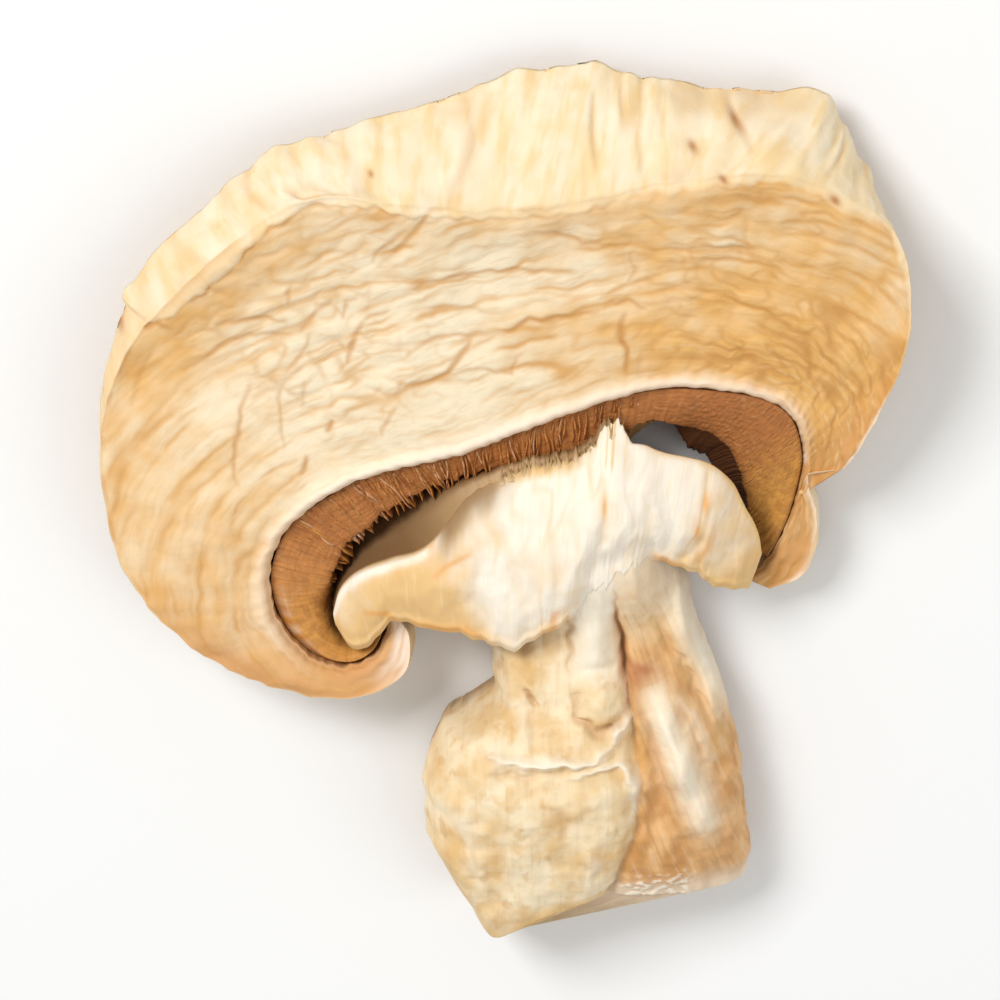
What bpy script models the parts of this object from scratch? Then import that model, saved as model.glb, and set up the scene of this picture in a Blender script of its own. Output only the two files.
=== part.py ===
"""A dried slice of a button mushroom, lying on its back cut face.

The slice was cut off centre, parallel to the stem. Its front face and its gills look up (+Z), the
crown of the cap points to +Y and the cut foot of the stem to -Y. Every solid is a loft: a closed
ring of points at each station, joined to the next ring. Lengths below are millimetres.
"""

import math

import bmesh
import bpy
import numpy as np

MM = 0.001
GAP = 0.3  # clearance between neighbouring pieces
MIDDLE = (-0.19, 1.08)  # middle of the whole slice in the rows' coordinates; it goes to the origin

# The cap, one row for each line across it, from the rolled margin at the lower left, round the
# crown, to the margin at the right. Each row gives the free edge of the gills (x, y), then three
# points (x, y, z): where the gills meet the flesh, the ridge where the cut face ends, and the far
# edge of the skin. The last number is how far the flesh runs in below the gills to the stem.
CAP_ROWS = (
    ((-5.9, -4.9), (-5.6, -4.8, 3.3), (-5.2, -4.6, 3.3), (-5.0, -4.6, 1.0), 0.2),
    ((-6.4, -5.8), (-6.0, -6.2, 3.4), (-4.6, -5.6, 3.5), (-4.4, -5.6, 1.0), 0.2),
    ((-6.8, -6.2), (-6.6, -6.9, 3.5), (-4.8, -7.4, 3.6), (-4.6, -7.6, 1.0), 0.3),
    ((-7.5, -6.3), (-7.5, -7.3, 3.5), (-6.7, -8.6, 3.8), (-6.6, -8.8, 1.0), 0.3),
    ((-8.1, -5.7), (-8.8, -7.1, 3.6), (-9.5, -8.6, 3.9), (-9.6, -8.9, 1.1), 0.4),
    ((-8.5, -4.3), (-10.7, -5.2, 3.8), (-14.9, -6.1, 4.2), (-15.2, -6.4, 1.3), 0.4),
    ((-8.3, -3.0), (-11.3, -2.5, 4.0), (-18.2, -1.9, 4.4), (-18.5, -2.1, 1.5), 0.5),
    ((-7.5, -1.5), (-10.3, 0.2, 4.1), (-19.2, 4.2, 4.7), (-19.4, 4.6, 1.9), 0.6),
    ((-6.3, -0.2), (-8.0, 2.0, 4.2), (-18.1, 8.8, 5.0), (-18.5, 9.6, 2.6), 0.8),
    ((-5.0, 0.8), (-6.3, 2.8, 4.2), (-15.9, 11.8, 5.6), (-17.1, 12.6, 2.2), 1.2),
    ((-1.9, 2.3), (-2.2, 3.9, 4.4), (-9.5, 17.2, 6.8), (-10.7, 18.3, 1.6), 3.0),
    ((0.8, 2.9), (0.6, 5.0, 4.5), (-4.6, 17.1, 7.0), (-4.9, 20.2, 1.4), 4.0),
    ((3.4, 3.7), (3.4, 6.2, 4.7), (1.0, 16.9, 7.0), (2.2, 22.4, 1.4), 4.2),
    ((7.0, 4.9), (7.5, 7.4, 4.8), (8.0, 18.3, 7.2), (8.6, 21.6, 1.5), 3.6),
    ((9.0, 4.6), (10.2, 7.3, 4.8), (12.0, 18.6, 7.1), (14.8, 21.1, 1.6), 2.4),
    ((10.2, 3.9), (12.4, 6.8, 4.7), (15.6, 17.6, 6.8), (16.3, 18.7, 1.8), 1.4),
    ((11.0, 3.0), (13.6, 5.9, 4.5), (18.4, 15.2, 6.4), (17.9, 15.6, 2.2), 0.8),
    ((11.7, 1.9), (14.2, 4.2, 4.0), (18.9, 9.6, 5.6), (19.0, 10.2, 2.2), 0.5),
    ((12.1, 0.9), (14.2, 2.6, 3.4), (17.2, 5.0, 4.6), (17.3, 5.0, 1.6), 0.4),
    ((12.4, -0.5), (13.6, -0.2, 2.7), (15.1, 0.9, 3.2), (15.3, 0.8, 1.0), 0.3),
    ((12.2, -2.0), (12.6, -2.4, 2.2), (14.4, -2.9, 2.3), (14.6, -3.0, 0.8), 0.2),
)
FACE_DISH = 0.7  # how far the dried cut face sinks between its two rims
SKIN_ROUND = 0.5  # 0 is a flat skin band, 1 a quarter of an ellipse
BACK_LIFT_START = 0.62  # share of the cap's width, from the gills, that lies flat on the surface
NECK_TOP = 2.3  # the flesh that joins the cap to the stem reaches this high
MARGIN_FOOT = 0.6  # height of the flesh under the gills away from the stem

# The gills hang in the chamber, a little below the cut face.
GILL_DROP_AT_CAP = 0.3
GILL_DROP_AT_EDGE = 1.2
GILL_FOOT_RISE = 0.15  # the gills' lower side climbs this much towards their free edge
GILL_FROM, GILL_TO = 0.05, 0.985  # the stretch of the cap's length that carries gills

# The veil, one row for each line across it from its left arm to its right end: a point on the
# upper edge, one on the hem, how much it swells between them, and its thickness.
VEIL_ROWS = (
    ((-8.0, -3.9, 3.9), (-7.8, -4.7, 3.7), 0.1, 0.5),
    ((-7.5, -2.5, 4.3), (-6.6, -5.5, 3.9), 0.4, 0.7),
    ((-5.5, -1.3, 4.9), (-5.3, -4.5, 4.4), 0.5, 0.8),
    ((-3.6, -0.3, 5.4), (-3.0, -4.7, 5.0), 0.6, 1.0),
    ((-1.7, 2.2, 5.3), (-1.3, -5.0, 5.4), 0.9, 1.2),
    ((0.8, 3.4, 5.2), (0.6, -5.4, 5.6), 1.2, 1.2),
    ((3.2, 4.0, 5.3), (2.8, -4.0, 5.8), 1.4, 1.2),
    ((5.2, 5.2, 5.4), (4.6, -2.0, 5.6), 1.4, 1.2),
    ((7.3, 4.2, 5.2), (6.4, -0.9, 5.3), 1.2, 1.1),
    ((10.0, 3.2, 4.7), (8.9, -1.8, 4.7), 0.9, 0.9),
    ((11.6, 1.0, 4.1), (10.2, -2.8, 4.0), 0.5, 0.7),
    ((12.0, -1.3, 3.5), (11.4, -3.2, 3.3), 0.1, 0.5),
)

# The stem, one row for each line across it from its top under the veil to its cut foot: its left
# and right edges (x, y), where the groove between its two lobes runs, and the heights of the left
# lobe, the groove and the right lobe.
STEM_ROWS = (
    ((0.8, 1.0), (8.2, 1.8), 4.6, 2.2, 2.2, 2.2),
    ((-0.4, -1.5), (8.8, -1.2), 5.0, 3.6, 3.5, 3.0),
    ((-0.8, -4.8), (9.2, -4.4), 5.5, 4.1, 3.8, 3.4),
    ((-0.9, -7.8), (10.4, -7.8), 5.9, 5.4, 4.2, 4.2),
    ((-2.3, -9.6), (11.0, -9.8), 6.2, 6.2, 4.5, 4.6),
    ((-3.6, -11.4), (11.5, -11.8), 6.4, 6.6, 4.7, 4.8),
    ((-3.9, -15.0), (11.9, -15.0), 6.2, 6.8, 4.7, 4.8),
    ((-3.0, -17.9), (11.9, -16.9), 5.7, 6.3, 4.6, 4.6),
    ((-1.2, -20.3), (11.7, -18.1), 5.0, 5.4, 4.2, 3.9),
)

CAP_STATIONS = 76
GILL_STATIONS = 60
VEIL_STATIONS = 34
STEM_STATIONS = 26


def flat_rows(rows):
    """The rows as one array, with the numbers of each row side by side."""
    return np.array([np.concatenate([np.atleast_1d(item) for item in row]) for row in rows])


def knots_of(rows, first, second):
    """Station positions from 0 to 1, spaced by the path of the middle of two of the rows' points."""
    middle = (rows[:, first : first + 2] + rows[:, second : second + 2]) / 2
    steps = np.sqrt(np.linalg.norm(np.diff(middle, axis=0), axis=1))
    along = np.concatenate([[0.0], np.cumsum(steps)])
    return along / along[-1]


def smooth(rows, knots, at):
    """A cubic through the rows, read at the positions given."""
    slopes = np.gradient(rows, knots, axis=0)
    at = np.clip(at, 0.0, 1.0)
    cell = np.clip(np.searchsorted(knots, at, side="right") - 1, 0, len(knots) - 2)
    width = (knots[cell + 1] - knots[cell])[:, None]
    t = (at - knots[cell])[:, None] / width
    start, end = rows[cell], rows[cell + 1]
    into, out = slopes[cell] * width, slopes[cell + 1] * width
    return (
        start * (2 * t**3 - 3 * t**2 + 1)
        + into * (t**3 - 2 * t**2 + t)
        + end * (3 * t**2 - 2 * t**3)
        + out * (t**3 - t**2)
    )


def unit(vectors):
    return vectors / np.linalg.norm(vectors, axis=1, keepdims=True)


def mix(a, b, t):
    return a + (b - a) * t


def point(xy, z):
    return np.column_stack([xy, np.broadcast_to(z, len(xy))])


CAP = flat_rows(CAP_ROWS)
CAP_KNOTS = knots_of(CAP, 2, 5)


def cap_lines(stations, start=0.0, end=1.0):
    """What the cap's rows give at evenly spaced stations, as one array for each entry of a row."""
    read = smooth(CAP, CAP_KNOTS, np.linspace(start, end, stations))
    free, gill, ridge, skin, neck = np.split(read, (2, 5, 8, 11), axis=1)
    return free, gill, ridge, skin, neck[:, 0]


def foot_height(neck):
    """Height of the flesh below the gills: low at the margins, high where it joins the stem."""
    share = np.clip((neck - 0.5) / 2.0, 0.0, 1.0)
    return mix(MARGIN_FOOT, NECK_TOP, share)


def cap_rings():
    _, gill, ridge, skin, neck = cap_lines(CAP_STATIONS)
    inward = unit(gill[:, 0:2] - skin[:, 0:2])
    foot = foot_height(neck)
    lip = gill[:, 0:2] + inward * neck[:, None]
    ring = []
    for t in (0.0, 0.12, 0.3, 0.5, 0.7, 0.9):
        across = mix(gill, ridge, t)
        width = np.linalg.norm(ridge[:, 0:2] - gill[:, 0:2], axis=1)
        dish = FACE_DISH * math.sin(math.pi * t) * np.clip(width / 8.0, 0.0, 1.0)
        ring.append(point(across[:, 0:2], across[:, 2] - dish))
    for w in (0.0, 0.3, 0.6, 0.85, 1.0):
        round_out = math.sin(w * math.pi / 2)
        round_down = 1.0 - math.cos(w * math.pi / 2)
        out = mix(w, round_out, SKIN_ROUND)
        down = mix(w, round_down, SKIN_ROUND)
        across = mix(ridge, skin, out)
        ring.append(point(across[:, 0:2], mix(ridge[:, 2], skin[:, 2], down)))
    under = mix(gill[:, 0:2], skin[:, 0:2], (1.0 + BACK_LIFT_START) / 2)
    ring.append(point(under, skin[:, 2] * 0.3))
    for t in (BACK_LIFT_START, BACK_LIFT_START / 2):
        ring.append(point(mix(gill[:, 0:2], skin[:, 0:2], t), 0.0))
    ring.append(point(lip, 0.0))
    ring.append(point(lip, foot))
    ring.append(point(gill[:, 0:2], foot + 0.05))
    return np.stack(ring, axis=1)


def gill_rings():
    free, gill, _, _, neck = cap_lines(GILL_STATIONS, GILL_FROM, GILL_TO)
    reach = free - gill[:, 0:2]
    start = gill[:, 0:2] + unit(reach) * GAP
    foot = foot_height(neck) + GAP
    ring = []
    for t in (0.0, 0.5, 1.0):
        ring.append(point(mix(start, free, t), gill[:, 2] - mix(GILL_DROP_AT_CAP, GILL_DROP_AT_EDGE, t)))
    for t in (1.0, 0.5, 0.0):
        ring.append(point(mix(start, free, t), foot + GILL_FOOT_RISE * t))
    return np.stack(ring, axis=1)


def veil_rings():
    rows = flat_rows(VEIL_ROWS)
    knots = knots_of(rows, 0, 3)
    read = smooth(rows, knots, np.linspace(0.0, 1.0, VEIL_STATIONS))
    top, hem, swell, thick = read[:, 0:3], read[:, 3:6], read[:, 6], read[:, 7]
    ring = []
    for t in (0.0, 0.15, 0.35, 0.6, 0.85, 1.0):
        across = mix(top, hem, t)
        ring.append(point(across[:, 0:2], across[:, 2] + swell * math.sin(math.pi * t)))
    for t in (0.9, 0.65, 0.35, 0.1):
        across = mix(top, hem, t)
        rise = swell * math.sin(math.pi * t) - thick
        ring.append(point(across[:, 0:2], across[:, 2] + rise))
    return np.stack(ring, axis=1)


def stem_rings():
    rows = flat_rows(STEM_ROWS)
    knots = knots_of(rows, 0, 2)
    read = smooth(rows, knots, np.linspace(0.0, 1.0, STEM_STATIONS))
    left, right, groove = read[:, 0:2], read[:, 2:4], read[:, 4]
    lobe_left, floor, lobe_right = read[:, 5], read[:, 6], read[:, 7]
    split = (groove - left[:, 0]) / (right[:, 0] - left[:, 0])
    ring = []

    def add(share, z):
        ring.append(point(mix(left, right, np.broadcast_to(share, len(left))[:, None]), z))

    add(0.0, lobe_left * 0.5)
    add(split * 0.12, lobe_left * 0.8)
    add(split * 0.35, lobe_left * 0.97)
    add(split * 0.6, lobe_left)
    add(split * 0.85, mix(lobe_left, floor, 0.3))
    add(split, floor)
    add(mix(split, 1.0, 0.3), lobe_right)
    add(mix(split, 1.0, 0.6), lobe_right * 0.92)
    add(mix(split, 1.0, 0.88), lobe_right * 0.72)
    add(1.0, lobe_right * 0.4)
    for share in (0.93, 0.5, 0.07):
        add(share, 0.0)
    return np.stack(ring, axis=1)


def loft(name, rings, colour):
    """One closed solid through the rings, with a point in the middle of each end."""
    mesh = bpy.data.meshes.new(name)
    bm = bmesh.new()
    count = rings.shape[1]
    rings = rings - np.array([*MIDDLE, 0.0])
    loops = [[bm.verts.new(p * MM) for p in ring] for ring in rings]
    for this, after in zip(loops, loops[1:]):
        for i in range(count):
            j = (i + 1) % count
            bm.faces.new((this[i], this[j], after[j], after[i]))
    for loop, ring in ((loops[0], rings[0]), (loops[-1], rings[-1])):
        middle = bm.verts.new(ring.mean(axis=0) * MM)
        for i in range(count):
            bm.faces.new((loop[i], loop[(i + 1) % count], middle))
    bmesh.ops.triangulate(bm, faces=bm.faces[:])
    bmesh.ops.recalc_face_normals(bm, faces=bm.faces[:])
    bm.to_mesh(mesh)
    bm.free()
    mesh.shade_smooth()
    piece = bpy.data.objects.new(name, mesh)
    bpy.context.scene.collection.objects.link(piece)
    mesh.materials.append(material(name, colour))
    return piece


def material(name, colour, roughness=0.8):
    made = bpy.data.materials.new(name)
    made.use_nodes = True
    shader = made.node_tree.nodes["Principled BSDF"]
    shader.inputs["Base Color"].default_value = (*colour, 1.0)
    shader.inputs["Roughness"].default_value = roughness
    shader.inputs["Metallic"].default_value = 0.0
    return made


def main():
    for old in list(bpy.data.objects):
        bpy.data.objects.remove(old)
    loft("cap", cap_rings(), (0.72, 0.47, 0.22))
    loft("gills", gill_rings(), (0.13, 0.05, 0.02))
    loft("veil", veil_rings(), (0.86, 0.72, 0.50))
    loft("stem", stem_rings(), (0.66, 0.46, 0.25))


main()
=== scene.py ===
"""A dried slice of a button mushroom: the finish of its cap, gills, veil and stem.

The slice lies on its back cut face. The shapes repeat the lofts of the solid model, far finer,
with the wrinkles of dried flesh in the mesh. Lengths are millimetres until a mesh is made. In the
grids of points, axis 0 runs along a piece and axis 1 goes round it, and what is known for each
station along a piece is a column.
"""

import math

import bpy
import numpy as np
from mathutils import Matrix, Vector
from mathutils.bvhtree import BVHTree
from mathutils.geometry import tessellate_polygon


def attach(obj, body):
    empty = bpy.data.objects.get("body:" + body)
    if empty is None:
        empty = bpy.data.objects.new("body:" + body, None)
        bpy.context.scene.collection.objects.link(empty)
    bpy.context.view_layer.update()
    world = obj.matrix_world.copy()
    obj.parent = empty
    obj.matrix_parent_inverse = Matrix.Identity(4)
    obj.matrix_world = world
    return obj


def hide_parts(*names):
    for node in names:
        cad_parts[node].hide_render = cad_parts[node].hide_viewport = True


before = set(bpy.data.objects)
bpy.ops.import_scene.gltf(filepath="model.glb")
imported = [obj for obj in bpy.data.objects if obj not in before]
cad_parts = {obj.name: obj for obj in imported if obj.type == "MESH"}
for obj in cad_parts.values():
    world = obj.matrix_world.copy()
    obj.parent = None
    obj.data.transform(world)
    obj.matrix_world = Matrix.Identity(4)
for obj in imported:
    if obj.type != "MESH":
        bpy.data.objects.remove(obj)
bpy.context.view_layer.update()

MM = 0.001
BODY = "root"
VIEW_TILT = math.radians(20)  # the camera leans this far from straight above, towards the crown
AIM = (-0.2, 0.15)  # what the camera looks at, across and up the picture
FRAME_WIDTH = 48.6  # what the picture spans at the slice
LENS = 180.0
SENSOR = 36.0

# The same rows as the solid model's, in its own coordinates. MIDDLE goes to the origin. The floor of
# the stem's groove is left out, because the sections of the two lobes shape the groove here.
MIDDLE = (-0.19, 1.08)
CAP_ROWS = (
    ((-5.9, -4.9), (-5.6, -4.8, 3.3), (-5.2, -4.6, 3.3), (-5.0, -4.6, 1.0), 0.2),
    ((-6.4, -5.8), (-6.0, -6.2, 3.4), (-4.6, -5.6, 3.5), (-4.4, -5.6, 1.0), 0.2),
    ((-6.8, -6.2), (-6.6, -6.9, 3.5), (-4.8, -7.4, 3.6), (-4.6, -7.6, 1.0), 0.3),
    ((-7.5, -6.3), (-7.5, -7.3, 3.5), (-6.7, -8.6, 3.8), (-6.6, -8.8, 1.0), 0.3),
    ((-8.1, -5.7), (-8.8, -7.1, 3.6), (-9.5, -8.6, 3.9), (-9.6, -8.9, 1.1), 0.4),
    ((-8.5, -4.3), (-10.7, -5.2, 3.8), (-14.9, -6.1, 4.2), (-15.2, -6.4, 1.3), 0.4),
    ((-8.3, -3.0), (-11.3, -2.5, 4.0), (-18.2, -1.9, 4.4), (-18.5, -2.1, 1.5), 0.5),
    ((-7.5, -1.5), (-10.3, 0.2, 4.1), (-19.2, 4.2, 4.7), (-19.4, 4.6, 1.9), 0.6),
    ((-6.3, -0.2), (-8.0, 2.0, 4.2), (-18.1, 8.8, 5.0), (-18.5, 9.6, 2.6), 0.8),
    ((-5.0, 0.8), (-6.3, 2.8, 4.2), (-15.9, 11.8, 5.6), (-17.1, 12.6, 2.2), 1.2),
    ((-1.9, 2.3), (-2.2, 3.9, 4.4), (-9.5, 17.2, 6.8), (-10.7, 18.3, 1.6), 3.0),
    ((0.8, 2.9), (0.6, 5.0, 4.5), (-4.6, 17.1, 7.0), (-4.9, 20.2, 1.4), 4.0),
    ((3.4, 3.7), (3.4, 6.2, 4.7), (1.0, 16.9, 7.0), (2.2, 22.4, 1.4), 4.2),
    ((7.0, 4.9), (7.5, 7.4, 4.8), (8.0, 18.3, 7.2), (8.6, 21.6, 1.5), 3.6),
    ((9.0, 4.6), (10.2, 7.3, 4.8), (12.0, 18.6, 7.1), (14.8, 21.1, 1.6), 2.4),
    ((10.2, 3.9), (12.4, 6.8, 4.7), (15.6, 17.6, 6.8), (16.3, 18.7, 1.8), 1.4),
    ((11.0, 3.0), (13.6, 5.9, 4.5), (18.4, 15.2, 6.4), (17.9, 15.6, 2.2), 0.8),
    ((11.7, 1.9), (14.2, 4.2, 4.0), (18.9, 9.6, 5.6), (19.0, 10.2, 2.2), 0.5),
    ((12.1, 0.9), (14.2, 2.6, 3.4), (17.2, 5.0, 4.6), (17.3, 5.0, 1.6), 0.4),
    ((12.4, -0.5), (13.6, -0.2, 2.7), (15.1, 0.9, 3.2), (15.3, 0.8, 1.0), 0.3),
    ((12.2, -2.0), (12.6, -2.4, 2.2), (14.4, -2.9, 2.3), (14.6, -3.0, 0.8), 0.2),
)
VEIL_ROWS = (
    ((-8.0, -3.9, 3.9), (-7.8, -4.7, 3.7), 0.1, 0.5),
    ((-7.5, -2.5, 4.3), (-6.6, -5.5, 3.9), 0.4, 0.7),
    ((-5.5, -1.3, 4.9), (-5.3, -4.5, 4.4), 0.5, 0.8),
    ((-3.6, -0.3, 5.4), (-3.0, -4.7, 5.0), 0.6, 1.0),
    ((-1.7, 2.2, 5.3), (-1.3, -5.0, 5.4), 0.9, 1.2),
    ((0.8, 3.4, 5.2), (0.6, -5.4, 5.6), 1.2, 1.2),
    ((3.2, 4.0, 5.3), (2.8, -4.0, 5.8), 1.4, 1.2),
    ((5.2, 5.2, 5.4), (4.6, -2.0, 5.6), 1.4, 1.2),
    ((7.3, 4.2, 5.2), (6.4, -0.9, 5.3), 1.2, 1.1),
    ((10.0, 3.2, 4.7), (8.9, -1.8, 4.7), 0.9, 0.9),
    ((11.6, 1.0, 4.1), (10.2, -2.8, 4.0), 0.5, 0.7),
    ((12.0, -1.3, 3.5), (11.4, -3.2, 3.3), 0.1, 0.5),
)
STEM_ROWS = (
    ((0.8, 1.0), (8.2, 1.8), 4.6, 2.2, 2.2),
    ((-0.4, -1.5), (8.8, -1.2), 5.0, 3.6, 3.0),
    ((-0.8, -4.8), (9.2, -4.4), 5.5, 4.1, 3.4),
    ((-0.9, -7.8), (10.4, -7.8), 5.9, 5.4, 4.2),
    ((-2.3, -9.6), (11.0, -9.8), 6.2, 6.2, 4.6),
    ((-3.6, -11.4), (11.5, -11.8), 6.4, 6.6, 4.8),
    ((-3.9, -15.0), (11.9, -15.0), 6.2, 6.8, 4.8),
    ((-3.0, -17.9), (11.9, -16.9), 5.7, 6.3, 4.6),
    ((-1.2, -20.3), (11.7, -18.1), 5.0, 5.4, 3.9),
)
NECK_TOP = 2.3  # the flesh that joins the cap to the stem reaches this high
MARGIN_FOOT = 0.6  # height of the flesh under the gills away from the stem


# ---------------------------------------------------------------- curves and numbers


def flat_rows(rows):
    """The rows as one array, with the numbers of each row side by side."""
    return np.array([np.concatenate([np.atleast_1d(item) for item in row]) for row in rows])


def knots_of(rows, first, second):
    """Each row's position from 0 to 1, by the square roots of the distances between rows.

    The distances are taken half way between two of the rows' points.
    """
    middle = (rows[:, first : first + 2] + rows[:, second : second + 2]) / 2
    steps = np.sqrt(np.linalg.norm(np.diff(middle, axis=0), axis=1))
    along = np.concatenate([[0.0], np.cumsum(steps)])
    return along / along[-1]


def smooth(rows, knots, at):
    """A cubic through the rows, read at the positions given."""
    slopes = np.gradient(rows, knots, axis=0)
    at = np.clip(at, 0.0, 1.0)
    cell = np.clip(np.searchsorted(knots, at, side="right") - 1, 0, len(knots) - 2)
    width = (knots[cell + 1] - knots[cell])[:, None]
    t = (at - knots[cell])[:, None] / width
    start, end = rows[cell], rows[cell + 1]
    into, out = slopes[cell] * width, slopes[cell + 1] * width
    return (
        start * (2 * t**3 - 3 * t**2 + 1)
        + into * (t**3 - 2 * t**2 + t)
        + end * (3 * t**2 - 2 * t**3)
        + out * (t**3 - t**2)
    )


def length(vectors):
    return np.linalg.norm(vectors, axis=-1, keepdims=True)


def unit(vectors):
    return vectors / np.maximum(length(vectors), 1e-9)


def mix(a, b, t):
    return a + (b - a) * t


def ease(x, low, high):
    """0 below low, 1 above high, and smooth between."""
    t = np.clip((x - low) / (high - low), 0.0, 1.0)
    return t * t * (3 - 2 * t)


def within(x, rise, fall):
    """1 between two places and 0 outside them, with a smooth rise and fall."""
    return ease(x, *rise) * (1 - ease(x, *fall))


def bell(x, middle, width):
    return np.exp(-(((x - middle) / width) ** 2))


def spot(x, y, place_x, place_y, size_x, size_y):
    return np.exp(-(((x - place_x) / size_x) ** 2) - ((y - place_y) / size_y) ** 2)


def length_along(points):
    steps = np.linalg.norm(np.diff(points, axis=0), axis=1)
    return np.concatenate([[0.0], np.cumsum(steps)])


def shares(count):
    """Equal steps from just after 0 to 1."""
    return np.linspace(0.0, 1.0, count + 1)[1:]


def between(start, end, t):
    """A grid of points that run from each start to its end."""
    return mix(start[:, None], end[:, None], np.reshape(t, (1, -1, 1)))


def with_height(xy, z):
    return np.concatenate([xy, np.broadcast_to(z, xy.shape[:-1])[..., None]], axis=-1)


# ---------------------------------------------------------------- noise


def gradient_of(cell, seed):
    """A repeatable unit vector for each whole-number cell."""
    mask = 0xFFFFFFFF
    h = cell[..., 0] * 374761393 + cell[..., 1] * 668265263 + cell[..., 2] * 3266489917
    h = (h + seed * 974634777) & mask
    h = ((h ^ (h >> 13)) * 1274126177) & mask
    h = ((h ^ (h >> 16)) * 2246822519) & mask
    turn = (h & 0xFFFF) * (2 * math.pi / 0xFFFF)
    z = ((h >> 16) & 0xFFFF) * (2.0 / 0xFFFF) - 1.0
    r = np.sqrt(1.0 - z * z)
    return np.stack([r * np.cos(turn), r * np.sin(turn), z], axis=-1)


def noise(x, y, z=0.0, seed=0):
    """Smooth noise, from about -1 to 1, with features about one unit across."""
    p = np.stack(np.broadcast_arrays(x, y, z), axis=-1).astype(float)
    cell = np.floor(p).astype(np.int64)
    f = p - cell
    fade = f**3 * (f * (f * 6 - 15) + 10)
    total = np.zeros(p.shape[:-1])
    for corner in np.ndindex(2, 2, 2):
        corner = np.array(corner)
        dot = ((f - corner) * gradient_of(cell + corner, seed)).sum(axis=-1)
        total += dot * np.where(corner, fade, 1 - fade).prod(axis=-1)
    return total * 1.6


def cloud(x, y, z=0.0, seed=0, octaves=3):
    total, size = 0.0, 1.0
    for i in range(octaves):
        total = total + size * noise(x / size, y / size, z / size + 7.3 * i, seed + i)
        size *= 0.5
    return total / 1.6


def creases(x, y, seed, width, keep=0.0):
    """Thin lines, 1 on the line, that wander along the noise's zeros and fade in and out."""
    line = np.exp(-((noise(x, y, 0.0, seed) / width) ** 2))
    return line * ease(noise(x * 0.6, y * 0.6, 5.0, seed + 50), keep - 0.35, keep + 0.35)


def borders(x, y, seed):
    """How far a place is from the border between scattered cells about one unit across."""
    x, y = np.broadcast_arrays(x, y)
    cell = np.stack([np.floor(x), np.floor(y), np.zeros_like(x)], axis=-1).astype(np.int64)
    first, second = np.full(x.shape, 9.0), np.full(x.shape, 9.0)
    for i in (-1, 0, 1):
        for j in (-1, 0, 1):
            other = cell + np.array([i, j, 0])
            centre = other + 0.5 + 0.42 * gradient_of(other, seed)
            gap = np.hypot(x - centre[..., 0], y - centre[..., 1])
            second = np.minimum(second, np.maximum(first, gap))
            first = np.minimum(first, gap)
    return second - first


def line_mask(x, y, points, width):
    """1 on a line drawn through hand-placed points, fading to both sides and at its ends."""
    points = np.array(points, float)
    lengths = length_along(points)
    best = np.full(np.shape(x), 1e9)
    share = np.zeros(np.shape(x))
    for a, b, start, end in zip(points, points[1:], lengths, lengths[1:]):
        along = b - a
        t = np.clip(((x - a[0]) * along[0] + (y - a[1]) * along[1]) / (along @ along), 0.0, 1.0)
        gap = np.hypot(x - a[0] - t * along[0], y - a[1] - t * along[1])
        nearer = gap < best
        best = np.where(nearer, gap, best)
        share = np.where(nearer, mix(start, end, t) / lengths[-1], share)
    # 1 on a line drawn through given points, fading to both sides and at its ends.
    taper = np.sqrt(np.clip(4 * share * (1 - share), 0.0, 1.0))
    return np.exp(-((best / width) ** 2)) * mix(0.25, 1.0, taper)


def drawn(x, y, table):
    """The strongest of a table's lines at each place. A line is its width, strength and points."""
    best = np.zeros_like(x)
    for width, strength, points in table:
        best = np.maximum(best, strength * line_mask(x, y, points, width))
    return best


class Face:
    """A part of the surface, whose places are x and y."""

    def patches(self, x_size, y_size, z=0.0, seed=0):
        return noise(self.x / x_size, self.y / y_size, z, seed)


# ---------------------------------------------------------------- meshes

RAY_START = 20.0  # well above every piece


def grid_normals(grid):
    """Outward normals of a grid of rings."""
    along = np.gradient(grid, axis=0)
    ahead = unit(np.roll(grid, -1, axis=1) - grid)
    around = ahead + np.roll(ahead, 1, axis=1)
    return unit(np.cross(along, around))


def blank(grid, names, along):
    """A mask of zeros for each name, and grain directions of which only the first is set."""
    size = grid.shape[:2]
    grain = np.zeros((*size, 2))
    grain[..., 0] = along
    return {name: np.zeros(size) for name in names}, grain


def loft(name, grid, masks, grain, normals=None):
    """A closed mesh through the rings, with its masks, and its grain directions as a second map.

    Normals given here are kept, so that two lofts which meet show no seam.
    """
    rings, count = grid.shape[:2]
    i, j = np.meshgrid(np.arange(rings - 1), np.arange(count), indexing="ij")
    k = (j + 1) % count
    quads = np.stack([i * count + j, (i + 1) * count + j, (i + 1) * count + k, i * count + k], axis=-1)
    faces = quads.reshape(-1, 4).tolist() + end_faces(grid[0], 0, True)
    faces += end_faces(grid[-1], (rings - 1) * count, False)
    values = {key: mask.reshape(-1) for key, mask in masks.items()}
    piece = mesh_piece(name, grid.reshape(-1, 3), faces, values, grain.reshape(-1, 2))
    if normals is not None:
        piece.data.normals_split_custom_set_from_vertices(normals.reshape(-1, 3).tolist())
    return piece


def top_of(piece, x, y):
    """How high a piece's upper side is at each place, and -1 where the piece isn't there."""
    points = [vertex.co / MM for vertex in piece.data.vertices]
    tree = BVHTree.FromPolygons(points, [face.vertices for face in piece.data.polygons])
    heights = []
    for place in zip(np.ravel(x) - MIDDLE[0], np.ravel(y) - MIDDLE[1]):
        hit = tree.ray_cast(Vector((*place, RAY_START)), Vector((0.0, 0.0, -1.0)))[0]
        heights.append(-1.0 if hit is None else hit.z)
    return np.reshape(heights, np.shape(x))


def end_faces(ring, offset, forward):
    """Triangles that fill a ring, however hollow its outline is."""
    turn = np.cross(ring, np.roll(ring, -1, axis=0)).sum(axis=0)
    made = []
    for a, b, c in tessellate_polygon([[Vector(point) for point in ring]]):
        ahead = np.cross(ring[b] - ring[a], ring[c] - ring[a]) @ turn > 0
        order = (a, b, c) if ahead == forward else (a, c, b)
        made.append(tuple(offset + corner for corner in order))
    return made


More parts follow.
